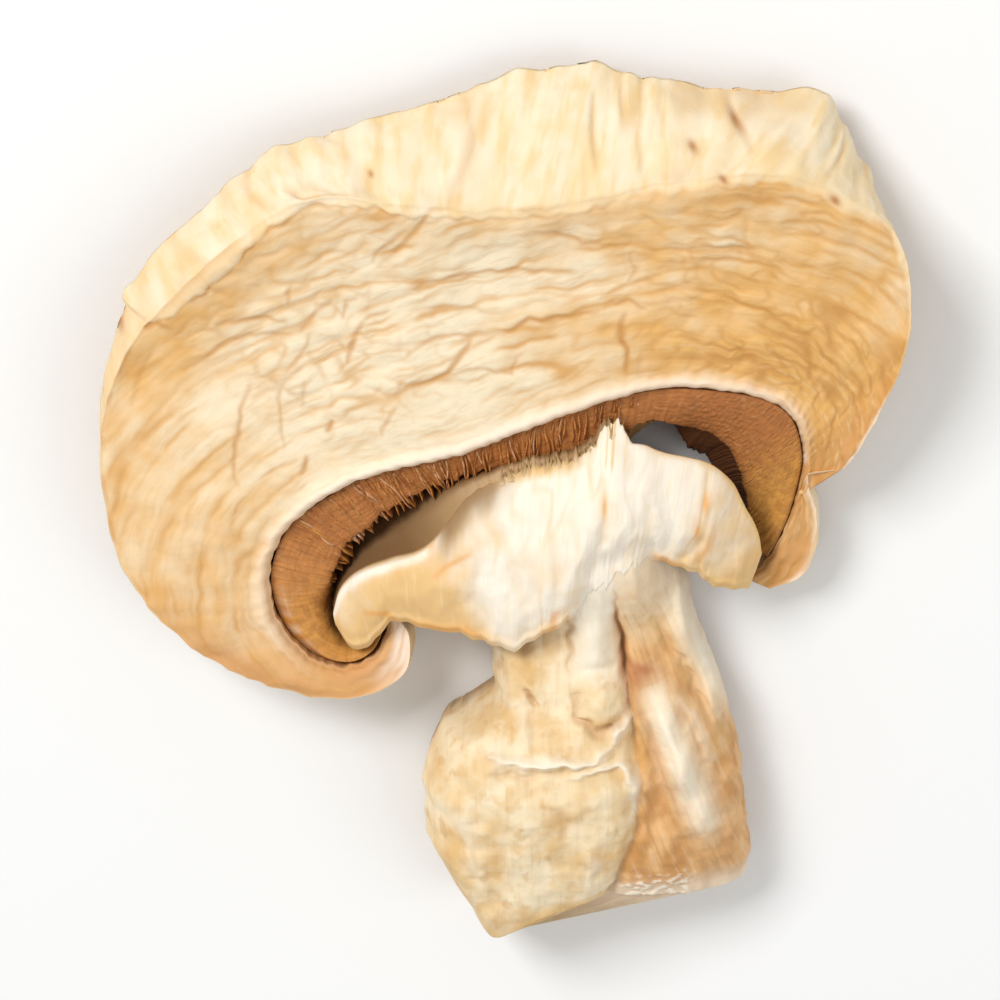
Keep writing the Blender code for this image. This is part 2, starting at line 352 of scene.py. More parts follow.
def inside_out(points, faces):
    """Whether the faces of a closed mesh look inwards, which its signed volume shows."""
    corners = np.array([(face[0], face[1], face[2], face[-1]) for face in faces])
    volume = np.linalg.det(points[corners[:, [0, 1, 2]]]).sum()
    volume += np.linalg.det(points[corners[:, [0, 2, 3]]]).sum()
    return volume < 0


def mesh_piece(name, points, faces, masks, grain):
    points = points - np.array([*MIDDLE, 0.0])
    if inside_out(points, faces):
        faces = [face[::-1] for face in faces]
    mesh = bpy.data.meshes.new(name)
    mesh.from_pydata((points * MM).tolist(), [], faces)
    for key, values in masks.items():
        made = mesh.attributes.new(key, "FLOAT", "POINT")
        made.data.foreach_set("value", np.clip(values, 0.0, 1.0).astype(np.float32))
    flow = np.column_stack([grain, np.zeros(len(grain))]).astype(np.float32)
    made = mesh.attributes.new("grain", "FLOAT_VECTOR", "POINT")
    made.data.foreach_set("vector", flow.reshape(-1))
    mesh.validate()
    mesh.shade_smooth()
    piece = bpy.data.objects.new(name, mesh)
    bpy.context.scene.collection.objects.link(piece)
    return piece


# ---------------------------------------------------------------- cap

CAP_STATIONS = 962
CAP_HALF = 481  # the cap is made as two meshes, which meet at this station
# Points of each ring: over the cut face, down the skin, back along the face that lies down, and up
# the wall that the gills hang from.
FACE_POINTS = 150
SKIN_POINTS = 36
BACK_POINTS = 10
WALL_POINTS = 8
FACE_PART = np.s_[:, :FACE_POINTS]
SKIN_PART = np.s_[:, FACE_POINTS : FACE_POINTS + SKIN_POINTS]
BACK_PART = np.s_[:, FACE_POINTS + SKIN_POINTS : -WALL_POINTS]
WALL_PART = np.s_[:, -WALL_POINTS:]

# The rolled margin runs on a little, to where it tucks in under the veil's arm.
TUCKED_ROW = ((-6.3, -3.6), (-6.0, -3.7, 3.7), (-5.3, -3.5, 3.9), (-5.1, -3.5, 2.6), 0.2)

# The margin's other end curls on under the veil in the same way.
END_ROW = ((11.5, -2.8), (11.8, -3.2, 1.9), (12.9, -3.7, 2.0), (13.0, -3.8, 0.7), 0.15)
CAP = flat_rows((TUCKED_ROW, *CAP_ROWS, END_ROW))
CAP_KNOTS = knots_of(CAP, 2, 5)
PATH_STEPS = 3000
DENSER_IN_BENDS = 0.35  # 0 spaces stations evenly along the cap, and 1 by its rows
FLAP_ROW = 8.72  # the torn skin starts here, with a loose end
SKIN_ENDS = (16.0, 17.0)  # and ends between these rows
STEP_ROWS = (18.42, 18.49, 18.7, 18.85, 19.0, 19.2, 19.5, 20.0)  # a step in the right margin
STEP_INWARD = (0.0, 1.6, 1.1, 0.5, 0.1, -0.1, -0.25, 0.0)  # how far it goes in


class CapLines:
    """What the cap's rows give at many stations, and where each station lies along the cap."""

    def __init__(self, stations, first=-1.0, last=float(len(CAP_ROWS))):
        numbers = np.arange(-1, len(CAP_ROWS) + 1)
        start, end = np.interp([first, last], numbers, CAP_KNOTS)
        dense = np.linspace(start, end, PATH_STEPS)
        read = smooth(CAP, CAP_KNOTS, dense)
        path = length_along((read[:, 2:5] + read[:, 5:8]) / 2)
        even = mix(path / path[-1], np.linspace(0.0, 1.0, PATH_STEPS), DENSER_IN_BENDS)
        at = np.interp(np.linspace(0.0, 1.0, stations), even, dense)
        read = smooth(CAP, CAP_KNOTS, at)
        self.free, self.gill, self.ridge, self.skin, self.neck = np.split(read, (2, 5, 8, 11), axis=1)
        self.row = np.interp(at, CAP_KNOTS, numbers)[:, None]
        self.s = np.interp(at, dense, path)[:, None]
        self.out = unit(self.ridge[:, 0:2] - self.gill[:, 0:2])
        self.foot = mix(MARGIN_FOOT, NECK_TOP, np.clip((self.neck - 0.5) / 2.0, 0.0, 1.0))

    def by_row(self, rows, values):
        return np.interp(self.row, rows, values)


def torn_outline(lines):
    """The ridge and the skin's edge, with the irregularities of a torn, dried rim."""
    s, row = lines.s, lines.row
    crown = within(row, (8.0, 9.0), (15.6, 16.4))
    size = lines.by_row([0, 2, 4, 6, 18, 20], [0.0, 0.1, 0.7, 0.6, 1.0, 0.4])
    size = size * (1 - 0.25 * bell(row, 9.0, 1.0))
    wander = 0.16 * noise(s / 1.1, 1.0, seed=3) + 0.2 * noise(s / 3.7, 2.0, seed=4)
    scallop = -0.4 * np.abs(noise(s / 1.5, 3.0, seed=5)) * bell(row, 4.7, 1.2)
    shift = wander * size + scallop
    edge = 0.22 * noise(s / 0.9, 6.0, seed=8) + 0.32 * noise(s / 2.6, 7.0, seed=9)
    jut = 0.5 * bell(row, 8.62, 0.16) - 0.25 * bell(row, 8.3, 0.08)
    edge = edge * (1 - 0.35 * bell(row, 9.0, 1.0)) + jut
    shoulder = 0.3 * crown * (1 + 0.6 * noise(s / 1.4, 9.0, seed=38))
    step = lines.by_row(STEP_ROWS, STEP_INWARD)
    ridge, skin = lines.ridge.copy(), lines.skin.copy()
    ridge[:, 0:2] += lines.out * shift
    skin[:, 0:2] += lines.out * (edge * crown + shift * (1 - crown))
    ridge[:, 2:] += size * (0.10 * noise(s / 0.9, 4.0, seed=6) + 0.10 * noise(s / 2.9, 5.0, seed=7))
    skin[:, 2:] += 0.25 * crown * noise(s / 2.2, 8.0, seed=10)
    ridge[:, 2:] -= shoulder
    ridge[:, 0:1] -= step
    skin[:, 0:1] -= step
    return ridge, skin, shoulder


def skin_overlap(lines):
    """How far the torn skin lies over the cut face."""
    s, row = lines.s, lines.row
    ragged = 0.26 * noise(s / 0.6, 0.0, seed=13) + 0.42 * noise(s / 2.0, 2.0, seed=15)
    torn = within(row, (FLAP_ROW - 0.02, FLAP_ROW + 0.02), SKIN_ENDS)
    crown = within(row, (FLAP_ROW, 9.0), SKIN_ENDS)
    wider = 0.3 * bell(row, 9.3, 0.5)
    return np.clip(0.02 + 0.2 * torn + (ragged + 0.2 + wider) * crown, 0.02, 1.3)


class CutFace(Face):
    """Places on the cut face, and how much each kind of wrinkle is at home there."""

    def __init__(self, lines, t, across, x, y):
        self.lines, self.row, self.s = lines, lines.row, lines.s
        self.t, self.across, self.x, self.y = t, across, x, y
        self.wide = across[:, -1:]
        self.to_ridge = self.wide - across
        self.inside = ease(across, 0.5, 1.3) * ease(self.to_ridge, 0.0, 0.5)
        self.bend = 0.55 * noise(self.s / 3.6, across / 1.8, seed=20)
        self.bend = self.bend + 0.22 * noise(x / 1.2, y / 1.2, seed=21)
        self.crown = bell(self.row, 11.2, 1.9)
        netted = bell(self.row, 9.5, 0.9) * ease(t, 0.1, 0.3) + 0.8 * bell(self.row, 13.4, 1.2)
        self.netted = np.clip(netted, 0, 1)
        self.left = 1 - ease(self.row, 7.4, 8.8)
        self.right = ease(self.row, 12.8, 14.6)


def face_plates(face):
    """Flat plates between cracks: their height, the cracks, and how near a crack is."""
    # how long and short the plates are, the cracks' width, the plates' height, and where they are
    layers = (
        (6.5, 1.5, 0.15, 0.08, 0.45 * face.crown + 0.2 * face.right),
        (1.6, 1.1, 0.18, 0.07, 0.75 * face.netted + 0.2 * face.right),
        (8.0, 1.1, 0.15, 0.03, 0.35 * face.left),
    )
    height = deep = halo = np.zeros_like(face.x)
    for number, (long, short, width, tall, share) in enumerate(layers):
        border = borders(face.s / long + 0.25 * face.bend, (face.across + face.bend) / short, 200 + number)
        fade = mix(0.15, 1.0, ease(face.patches(2.6, 2.0, 3.0 * number, 27), -0.35, 0.4))
        deep = np.maximum(deep, 0.55 * bell(border, 0.0, width) * share * fade)
        halo = np.maximum(halo, bell(border, 0.0, 0.7) * share)
        height = height + tall * ease(border, 0.0, 0.75) * share * face.inside
    return height, deep, halo


def face_wrinkles(face):
    """Long wrinkles that run with the outline: their height, their fine lines and their valleys."""
    crown, netted, left, right = face.crown, face.netted, face.left, face.right
    # how long and short the wrinkles are, their height, and where they are
    layers = (
        (12.0, 1.85, 0.065, crown + 0.7 * right + 0.8 * left + 0.3 * netted),
        (7.0, 1.25, 0.035, 0.45 * crown + 0.5 * netted + 0.7 * right + 0.35 * left),
        (2.2, 0.90, 0.022, 0.10 * crown + 0.5 * netted + 0.45 * right + 0.05 * left),
    )
    sway = face.bend * (1 - 0.55 * left)
    step_across = np.maximum(np.gradient(face.across, axis=1), 1e-3)
    step_along = np.gradient(face.s, axis=0)
    height = fine = valley = np.zeros_like(face.x)
    for number, (long, short, tall, share) in enumerate(layers):
        share = np.clip(share, 0, 1)
        wave = noise((face.s + 1.2 * sway) / long, (face.across + 0.7 * sway) / short, 0.0, 240 + number)
        steep = np.hypot(np.gradient(wave, axis=1) / step_across, np.gradient(wave, axis=0) / step_along)
        off = np.abs(wave) / np.maximum(steep, 0.5)  # about how far the nearest line is
        fade = ease(face.patches(2.6, 2.0, 5.0 + number, 33), -0.4, 0.2)
        fine = np.maximum(fine, bell(off, 0.0, 0.12) * share * fade)
        valley = np.maximum(valley, bell(off, 0.0, 0.3) * share * mix(0.4, 1.0, fade))
        rounded = np.minimum(np.hypot(off, 0.15) / 0.5, 1.0)
        height = height + tall * rounded * share * face.inside * mix(0.5, 1.0, fade)
    return height, fine, valley


def face_gold(face, halo, valley):
    """How golden the cut face is: its two sides, painted shade in the hollow below the torn skin, and painted
    shade in the valleys.
    """
    t, row = face.t, face.row
    gold = np.interp(
        row + 0.7 * face.patches(3.2, 3.2, 6.0, 37),
        [0, 3, 5, 6.5, 8, 9, 10, 11, 12, 13, 14, 15, 17],
        [0.70, 0.68, 0.58, 0.46, 0.28, 0.06, -0.12, -0.22, 0.08, 0.48, 0.76, 0.90, 1.0],
    )
    # Painted shade: gold where the face sinks below the torn skin.
    gutter_shade = ease(t, 0.55, 0.9)
    gutter_shade = gutter_shade * face.lines.by_row([7.5, 8.3, 9, 10.5, 12, 14, 16], [0.1, 0.5, 0.6, 0.5, 0.35, 0.1, 0])
    paler = 0.38 * ease(t, 0.3, 0.85) * within(row, (12.8, 13.8), (16.4, 17.4))
    golder = 0.40 * bell(row, 11.7, 1.5) * (1 - ease(t, 0.2, 0.7)) + 0.15 * ease(row, 16.6, 17.4)
    bands = noise((face.s + face.bend) / 5.0, (face.across + face.bend) / 0.8, 2.0, 36)
    blotch = 0.16 * cloud(face.x / 3.0, face.y / 2.4, 3.0, seed=30)
    # The gold added in the valleys is painted shade.
    return gold + golder - paler + gutter_shade + 0.10 * halo + 0.12 * valley * face.inside + blotch + 0.12 * bands


def face_relief(lines, t, across, x, y):
    """How far the cut face stands out, its creases, how golden it is, and its fine lines."""
    face = CutFace(lines, t, across, x, y)
    plates, deep, halo = face_plates(face)
    wrinkles, fine, valley = face_wrinkles(face)
    kink = face.patches(0.7, 0.7, 4.0, 32)
    placed = drawn(x + 0.16 * kink, y + 0.16 * kink, FACE_CREASES)
    torn = bell(face.to_ridge - skin_overlap(lines), 0.12, 0.13)
    torn = torn * ease(noise(lines.s / 1.3, 0.0, 4.0, 31), -0.2, 0.3) * ease(face.wide, 4.0, 8.0)
    torn = torn * lines.by_row([8, 9, 11, 11.8, 20], [0.7, 1.0, 1.0, 0.45, 0.3])
    deep = np.clip(np.maximum.reduce([deep * face.inside, placed, 0.8 * torn]), 0.0, 1.0)
    height = (0.32 * cloud(x / 5.5, y / 5.5, 1.0, seed=26)) * face.inside + plates + wrinkles
    grit = 0.008 * noise(lines.s / 3.0, across / 0.45, seed=28) + 0.015 * face.patches(0.5, 0.5, 2.0, 29)
    height = height + face.inside * grit
    height = height - (0.03 * deep + 0.025 * fine + 0.04 * placed) * np.clip(0.3 + face.wide / 8.0, 0, 1)
    # The upper left band is painted shade, both in the gold and in the creases' mask.
    ridge_shade_left, ridge_band_right = (line_mask(x, y, points, width) for width, points in RIDGE_BANDS)
    deep = np.maximum.reduce([deep, 0.7 * ridge_shade_left, 0.35 * ridge_band_right])
    gold = face_gold(face, halo, valley) + ridge_shade_left
    smooth_patch = spot(x, y, -12.6, 13.0, 2.0, 1.9)
    return height, deep, gold, fine * face.inside * (1 - 0.9 * smooth_patch)


# Golden bands along the ridge: at the upper left painted shade where the face sinks under the torn skin, and
# at the lower right a deeper gold. Width and a few points each.
RIDGE_BANDS = (
    (0.45, ((-16.4, 11.2), (-15.4, 12.4), (-14.2, 13.6), (-12.4, 15.2))),
    (0.9, ((14.4, 5.8), (15.2, 3.8), (15.9, 2.2))),
)
# Creases that stand out on the cut face: width, strength and a few points each.
FACE_CREASES = (
    (0.15, 0.8, ((-5.8, 13.9), (-4.6, 15.2), (-3.4, 16.8), (-2.2, 17.1), (0.3, 17.0), (2.3, 16.7))),
    (0.13, 0.7, ((-6.1, 14.1), (-5.8, 14.7), (-4.6, 15.8))),
    (0.13, 0.3, ((-2.3, 14.5), (-1.4, 14.9), (0.7, 15.0))),
    (0.14, 0.6, ((0.8, 15.6), (1.6, 15.6), (3.0, 15.4), (3.6, 15.0), (4.5, 15.1), (5.2, 14.8))),
    (0.14, 0.7, ((-4.6, 13.2), (-3.2, 13.1), (-1.4, 13.5), (0.3, 13.6), (1.8, 13.6), (3.5, 13.5))),
    (0.13, 0.6, ((-4.6, 9.3), (-3.9, 9.8), (-3.2, 10.2), (-1.6, 10.4), (-0.1, 10.4))),
    (0.15, 1.0, ((-0.1, 10.4), (0.5, 10.7), (1.1, 11.2), (2.3, 11.2), (3.5, 11.4), (4.5, 11.6))),
    (0.14, 0.8, ((4.5, 11.6), (5.1, 12.0), (5.8, 12.1), (6.6, 11.7))),
    (0.16, 1.0, ((5.6, 11.4), (5.5, 10.6), (5.8, 9.2), (5.8, 8.3))),
    (0.15, 0.9, ((-5.3, 7.1), (-4.5, 7.6), (-3.6, 7.9), (-2.7, 8.3), (-1.8, 9.6), (-1.4, 10.3))),
    (0.13, 0.6, ((-2.8, 8.2), (-1.2, 8.6), (0.0, 8.4), (0.3, 8.3), (0.6, 9.2), (1.0, 9.5))),
    (0.13, 0.4, ((-4.6, 10.5), (-3.4, 10.8), (-2.8, 10.9))),
    (0.13, 0.4, ((-4.6, 11.5), (-2.8, 11.8), (-1.4, 11.6), (0.0, 11.5))),
    (0.13, 0.6, ((4.7, 12.3), (5.2, 12.7), (5.9, 13.0), (6.9, 13.2))),
    (0.13, 0.5, ((5.9, 14.7), (6.1, 13.6), (5.8, 13.0))),
    (0.13, 0.5, ((7.9, 10.7), (8.4, 10.5), (9.0, 10.4))),
    (0.15, 0.7, ((10.1, 10.7), (10.7, 9.8), (11.4, 9.3), (12.2, 8.7), (13.2, 8.2))),
    (0.13, 0.5, ((12.2, 12.8), (12.5, 12.3))),
    (0.15, 0.6, ((12.3, 10.0), (13.1, 9.0), (13.6, 8.0))),
    (0.15, 0.6, ((13.6, 11.3), (14.2, 10.2), (14.4, 8.4), (15.0, 6.4))),
    (0.13, 0.4, ((6.3, 16.7), (6.8, 16.3), (7.5, 16.1))),
    (0.13, 0.4, ((10.4, 15.1), (11.4, 14.7), (11.8, 14.5))),
    (0.15, 0.8, ((-13.6, 10.7), (-12.5, 10.9), (-11.2, 11.1), (-10.2, 10.9))),
    (0.14, 0.7, ((-15.2, 8.4), (-14.5, 8.7), (-13.9, 9.1), (-13.1, 9.8), (-12.0, 10.2), (-10.0, 10.2))),
    (0.14, 0.4, ((-17.6, 6.6), (-17.4, 7.7), (-16.9, 8.8), (-16.4, 9.6))),
    (0.14, 0.7, ((-12.8, 2.4), (-12.9, 3.7), (-12.6, 5.2), (-12.5, 6.3), (-12.0, 7.6))),
    (0.13, 0.5, ((-10.5, 4.2), (-10.6, 5.6), (-10.7, 6.9), (-10.4, 7.8), (-9.6, 8.5))),
    (0.13, 0.4, ((-9.6, 6.2), (-9.5, 7.4), (-9.4, 7.9))),
    (0.14, 0.9, ((-9.7, 2.9), (-9.6, 3.3), (-9.3, 4.0))),
    (0.15, 0.9, ((-8.4, 5.2), (-8.1, 5.9))),
    (0.15, 0.8, ((-7.4, 8.7), (-7.2, 9.6), (-6.7, 10.9))),
    (0.13, 0.5, ((-5.8, 5.0), (-5.6, 5.8), (-5.2, 6.5))),
    (0.13, 0.7, ((-6.7, 10.9), (-6.3, 11.2), (-5.4, 11.5))),
    (0.13, 0.6, ((-10.2, 11.8), (-10.0, 12.7), (-9.9, 12.9))),
    (0.13, 0.6, ((-10.4, 8.2), (-9.7, 9.1), (-9.3, 9.7), (-9.1, 10.4))),
    (0.13, 0.6, ((-9.6, 10.4), (-9.0, 11.2), (-8.8, 11.5), (-8.0, 12.0))),
    (0.13, 0.6, ((-7.9, 11.5), (-7.5, 11.2), (-7.4, 12.0), (-6.8, 12.2))),
    (0.23, 1.0, ((-18.6, 11.2), (-17.5, 10.9), (-16.8, 10.7), (-16.3, 11.0), (-15.5, 10.5))),
    (0.33, 0.9, ((-6.6, -6.2), (-6.2, -5.7), (-5.9, -5.2))),
    (0.19, 1.0, ((13.4, -1.9), (13.3, -2.7), (12.9, -3.5))),
)
# Folds in the skin, in the same form.
SKIN_CREASES = (
    (0.15, 1.0, ((-10.4, 17.6), (-9.7, 17.6), (-9.3, 17.4), (-8.0, 17.5), (-6.9, 17.5))),
    (0.16, 0.7, ((4.2, 21.6), (4.1, 20.2), (4.3, 18.6))),
    (0.16, 0.5, ((6.6, 21.4), (6.2, 20.0), (6.4, 18.8))),
    (0.16, 0.5, ((-1.6, 20.8), (-1.3, 19.6), (-1.6, 18.4))),
    (0.16, 0.6, ((10.4, 21.6), (10.9, 20.4), (11.6, 19.4))),
)
# Small brown marks on the skin: place (x, y), length and width.
SKIN_MARKS = (
    (8.7, 19.6, 0.28, 0.16),
    (10.8, 20.4, 0.6, 0.14),
    (10.1, 18.4, 0.3, 0.14),
    (15.3, 17.3, 0.3, 0.18),
    (-6.2, 18.2, 0.16, 0.12),
    (-18.3, 10.2, 0.3, 0.3),
)


def flap_start(row, w):
    """1 where the torn skin lies; its loose end runs obliquely down to the outline."""
    oblique = FLAP_ROW - 0.24 * w
    return ease(row, oblique - 0.03, oblique + 0.03)


def skin_relief(lines, w, down, x, y):
    """The skin band: fine creases that run across it, and a few folds."""
    row, s = lines.row, lines.s
    crown = flap_start(row, w) * (1 - ease(row, *SKIN_ENDS))
    size = mix(0.35, 1.0, crown)
    pleats = noise((s + 0.35 * noise(s / 2.0, down / 2.0, seed=40)) / 0.75, down / 5.0, seed=41)
    fine = noise(s / 0.36, down / 2.6, seed=42)
    lumps = cloud(s / 2.8, down / 2.8, 2.0, seed=44)
    fold = size * creases(s / 1.8, down / 6.0, 43, 0.16, 0.05)
    placed = drawn(x, y, SKIN_CREASES)
    height = size * (0.08 * pleats + 0.03 * fine + 0.26 * lumps) - 0.15 * fold * ease(down, 0.3, 1.2)
    height = height + 0.25 * (crown - 1) * bell(row, FLAP_ROW, 0.5) - 0.25 * placed
    deep = np.clip(0.6 * fold + 0.2 * ease(-pleats, 0.1, 0.7), 0.0, 1.0)
    return height, np.maximum(deep, placed)


def cut_face(lines, gill, ridge, shoulder, t):
    """The cut face's points, how far each lies from the gills, and how much skin covers it."""
    face = between(gill, ridge, t)
    wide = length(ridge[:, 0:2] - gill[:, 0:2])
    across = wide * t
    to_ridge = wide - across
    dish = lines.by_row(
        [0, 3, 5, 6.5, 8, 9, 10.5, 12, 13.5, 15, 16, 17.5, 19, 20],
        [0, 0, -0.25, -0.4, 0.2, 0.65, 0.6, 0.45, 0.35, 0.3, 0.3, 0.2, 0.05, 0],
    )
    hollow = np.where(dish > 0, np.sin(math.pi * t**1.7) ** 1.1, np.sin(math.pi * t))
    blur = lines.by_row([8, 11.5, 13, 20], [0.06, 0.08, 0.22, 0.22])
    covered = 1 - ease((to_ridge - skin_overlap(lines)) / blur, -1.0, 1.0)
    torn_step = lines.by_row([8, 9, 11, 12.5, 20], [0.07, 0.08, 0.11, 0.07, 0.05]) * ease(wide, 4.0, 8.0)
    lip = 0.22 * bell(across, 0.45, 0.3) - 0.35 * bell(across, 0.0, 0.12)
    lip = lip + torn_step * (covered - 1) * ease(to_ridge, 4.0, 0.5)
    face[..., 2] += lip * np.clip(wide / 3.0, 0, 1) - dish * hollow
    face[..., 2] += shoulder * t * (1 - bell(to_ridge, 0.0, 0.45))
    return face, across, covered


def skin_band(ridge, skin, w):
    """The skin's points, from the ridge down to its far edge, and how far each lies from the ridge."""
    band = between(ridge, skin, mix(w, np.sin(w * math.pi / 2), 0.45))
    fall = mix(w, 1.0 - np.cos(w * math.pi / 2), 0.45)
    band[..., 2] = mix(ridge[:, 2:], skin[:, 2:], fall)
    return band, length(skin - ridge) * w


def back_face(skin, gill, q):
    """The other cut face, which lies down, from the skin's edge to the gills, and its creases."""
    curl = ease(1.0 - q, 0.62, 1.0)
    back = with_height(between(skin[:, 0:2], gill[:, 0:2], q), skin[:, 2:] * curl**1.3)
    x, y = back[..., 0], back[..., 1]
    deep = creases(x / 2.2, y / 1.2, 60, 0.22, -0.1) + creases(x / 0.9, y / 0.9, 61, 0.3, 0.0)
    deep = np.clip(deep, 0, 1)
    back[..., 2] += 0.22 * deep + 0.12 * (1 + cloud(x / 3.0, y / 3.0, 4.0, seed=62)) * (1 - curl)
    return back, deep


def gill_wall(lines, gill):
    """The flesh under the gills, and the wall that they hang from."""
    shorter = lines.by_row([7.6, 8.4, 9.8, 10.6, 12, 13, 15, 16], [1.0, 0.6, 0.55, 1.0, 1.0, 0.65, 0.65, 1.0])
    lip, root = gill[:, 0:2] - lines.out * (lines.neck * shorter), gill[:, 0:2]
    lip_top, shelf_end = 0.35, 0.6  # shares of its points: up to the lip's top, and to the shelf's end
    wall = []
    for share in np.linspace(0.0, 1.0, WALL_POINTS):
        if share < lip_top:
            at, z = lip, lines.foot * (0.06 + share / lip_top * 0.94)
        elif share < shelf_end:
            at, z = mix(lip, root, (share - lip_top) / (shelf_end - lip_top)), lines.foot + 0.1
        else:
            up = (share - shelf_end) / (1 - shelf_end)
            at, z = root - lines.out * 0.02, mix(lines.foot + 0.15, gill[:, 2:] - 0.45, up)
        wall.append(np.hstack([at, z]))
    return np.stack(wall, axis=1)


def face_rim(lines, t, across):
    """How pale and pinkish the cut face's edges are, and how brown its rolled margin is."""
    row = lines.row
    to_ridge = across[:, -1:] - across
    above = lines.by_row([0, 4, 6, 8, 10, 12, 15, 16.5, 17.5], [0, 0, 0.5, 0.8, 1, 1, 0.8, 0.5, 0])
    soft = 0.12 * noise(lines.s / 1.1, 0.0, 2.0, 14)
    rim = above * bell(across + soft, 0.4, 0.42)
    curl = (1 - ease(row, 1.6, 3.0)) * ease(t, 0.25, 0.65)
    ridge_rim = bell(to_ridge, 0.04, 0.2) * within(row, (17.3, 17.8), (20.2, 20.6))
    gill_rim = bell(across, 0.15, 0.16) * within(row, (14.8, 15.4), (17.4, 17.8))
    margin = bell(row, 2.6, 2.2) + 0.8 * bell(row, 4.6, 0.8) * ease(t, 0.45, 0.9)
    margin = margin + 0.8 * ease(row, 16.4, 18.0)
    return np.maximum.reduce([rim, curl, ridge_rim, gill_rim]), np.clip(margin, 0, 1)


def skin_marks(x, y):
    """Small brown marks, longer along the slope than across it."""
    found = np.zeros_like(x)
    for place_x, place_y, long, short in SKIN_MARKS:
        along = ((x - place_x) * 0.7 - (y - place_y) * 0.7) / long
        off = ((x - place_x) * 0.7 + (y - place_y) * 0.7) / short
        found = np.maximum(found, np.exp(-(along**2) - off**2))
    return found


def cap_pieces():
    """The cap's two halves, which meet at one station and are wrinkled and coloured as one."""
    lines = CapLines(CAP_STATIONS)
    ridge, skin, shoulder = torn_outline(lines)
    rim = 0.10 * noise(lines.s / 0.7, 9.0, seed=11) + 0.12 * noise(lines.s / 2.0, 10.0, seed=12)
    gill = lines.gill + np.hstack([lines.out * rim, 0.6 * rim])
    t = np.linspace(0.0, 1.0, FACE_POINTS) ** 1.05
    w = shares(SKIN_POINTS)
    q = shares(BACK_POINTS) ** 1.8
    face, across, covered = cut_face(lines, gill, ridge, shoulder, t)
    band, down = skin_band(ridge, skin, w)
    back, back_deep = back_face(skin, gill, q)
    face_out, face_deep, gold, fine = face_relief(lines, t, across, face[..., 0], face[..., 1])
    band_out, band_deep = skin_relief(lines, w, down, band[..., 0], band[..., 1])

    grid = np.concatenate([face, band, back, gill_wall(lines, gill)], axis=1)
    push = np.zeros(grid.shape[:2])
    push[FACE_PART] = face_out
    push[SKIN_PART] = band_out * ease(w, 0.0, 0.15)
    last = lines.s[-1]
    tips = within(lines.s, (0.0, 1.5), (last - 1.0, last))
    grid = grid + grid_normals(grid) * (push * tips)[..., None]

    masks, grain = blank(grid, ("skin", "deep", "gold", "rim", "margin", "mark", "lines"), lines.s)
    x, y = grid[..., 0], grid[..., 1]
    flap = flap_start(lines.row, w)
    stained = ease(noise(x / 1.2, y / 1.2, 2.0, seed=110), -0.6, 0.5)[SKIN_PART]
    masks["skin"][FACE_PART] = covered
    masks["skin"][SKIN_PART] = 1.0
    masks["skin"][BACK_PART] = ease(1 - q, 0.93, 0.99)
    masks["deep"][FACE_PART] = face_deep
    masks["deep"][SKIN_PART] = band_deep
    masks["deep"][BACK_PART] = back_deep
    # Painted shade: the wall under the gills takes the creases' dark brown all over.
    masks["deep"][WALL_PART] = 1.0
    masks["gold"][FACE_PART] = gold
    masks["gold"][SKIN_PART] = 0.9 - 0.85 * flap + 0.7 * flap * stained * (1 - ease(lines.row, 9.4, 10.4))
    masks["gold"][BACK_PART] = 0.45
    masks["lines"][FACE_PART] = fine
    masks["rim"][FACE_PART], masks["margin"][FACE_PART] = face_rim(lines, t, across)
    masks["mark"] = skin_marks(x, y) * (masks["skin"] > 0.5)
    wide, reach = across[:, -1:], down[:, -1:]
    grain[(*FACE_PART, 1)] = across
    grain[(*SKIN_PART, 1)] = wide + down
    grain[(*BACK_PART, 1)] = wide + reach + q * (wide + reach)
    normals = grid_normals(grid)
    pieces = []
    for name, part in (("cap_left", np.s_[: CAP_HALF + 1]), ("cap_right", np.s_[CAP_HALF:])):
        half_masks = {key: value[part] for key, value in masks.items()}
        pieces.append(loft(name, grid[part], half_masks, grain[part], normals[part]))
    return pieces


# ---------------------------------------------------------------- gills

GILL_FIRST_ROW, GILL_LAST_ROW = 0.5, 19.8
GILL_STATIONS = 720
# Points of each ring: over the top, down the inner side, back along the foot and up the outer side.
GILL_TOP_POINTS = 34
GILL_INNER_POINTS = 12
GILL_FOOT_POINTS = 8
GILL_OUTER_POINTS = 6
GILL_GAP = 0.11  # the crack between the gills and the flesh
LAMELLA_FIRST_ROW, LAMELLA_LAST_ROW = 5.7, 13.4
LAMELLA_PITCH = 0.27  # from one gill to the next
LAMELLA_THICK = 0.10  # half of a gill's thickness at its root
LAMELLA_POINTS = 16  # along a gill
LAMELLA_LEVELS = 7  # from its crest to its foot
# dark is painted shade; pale is a painted highlight along the trough, paler crests on some gills, and real
# pale specks.
GILL_MASKS = ("ochre", "dark", "pale", "tone")
# Pale specks on the gills: place (x, y) and size.
SPECKS = ((-7.1, -0.5, 0.22), (-8.3, -1.3, 0.16))


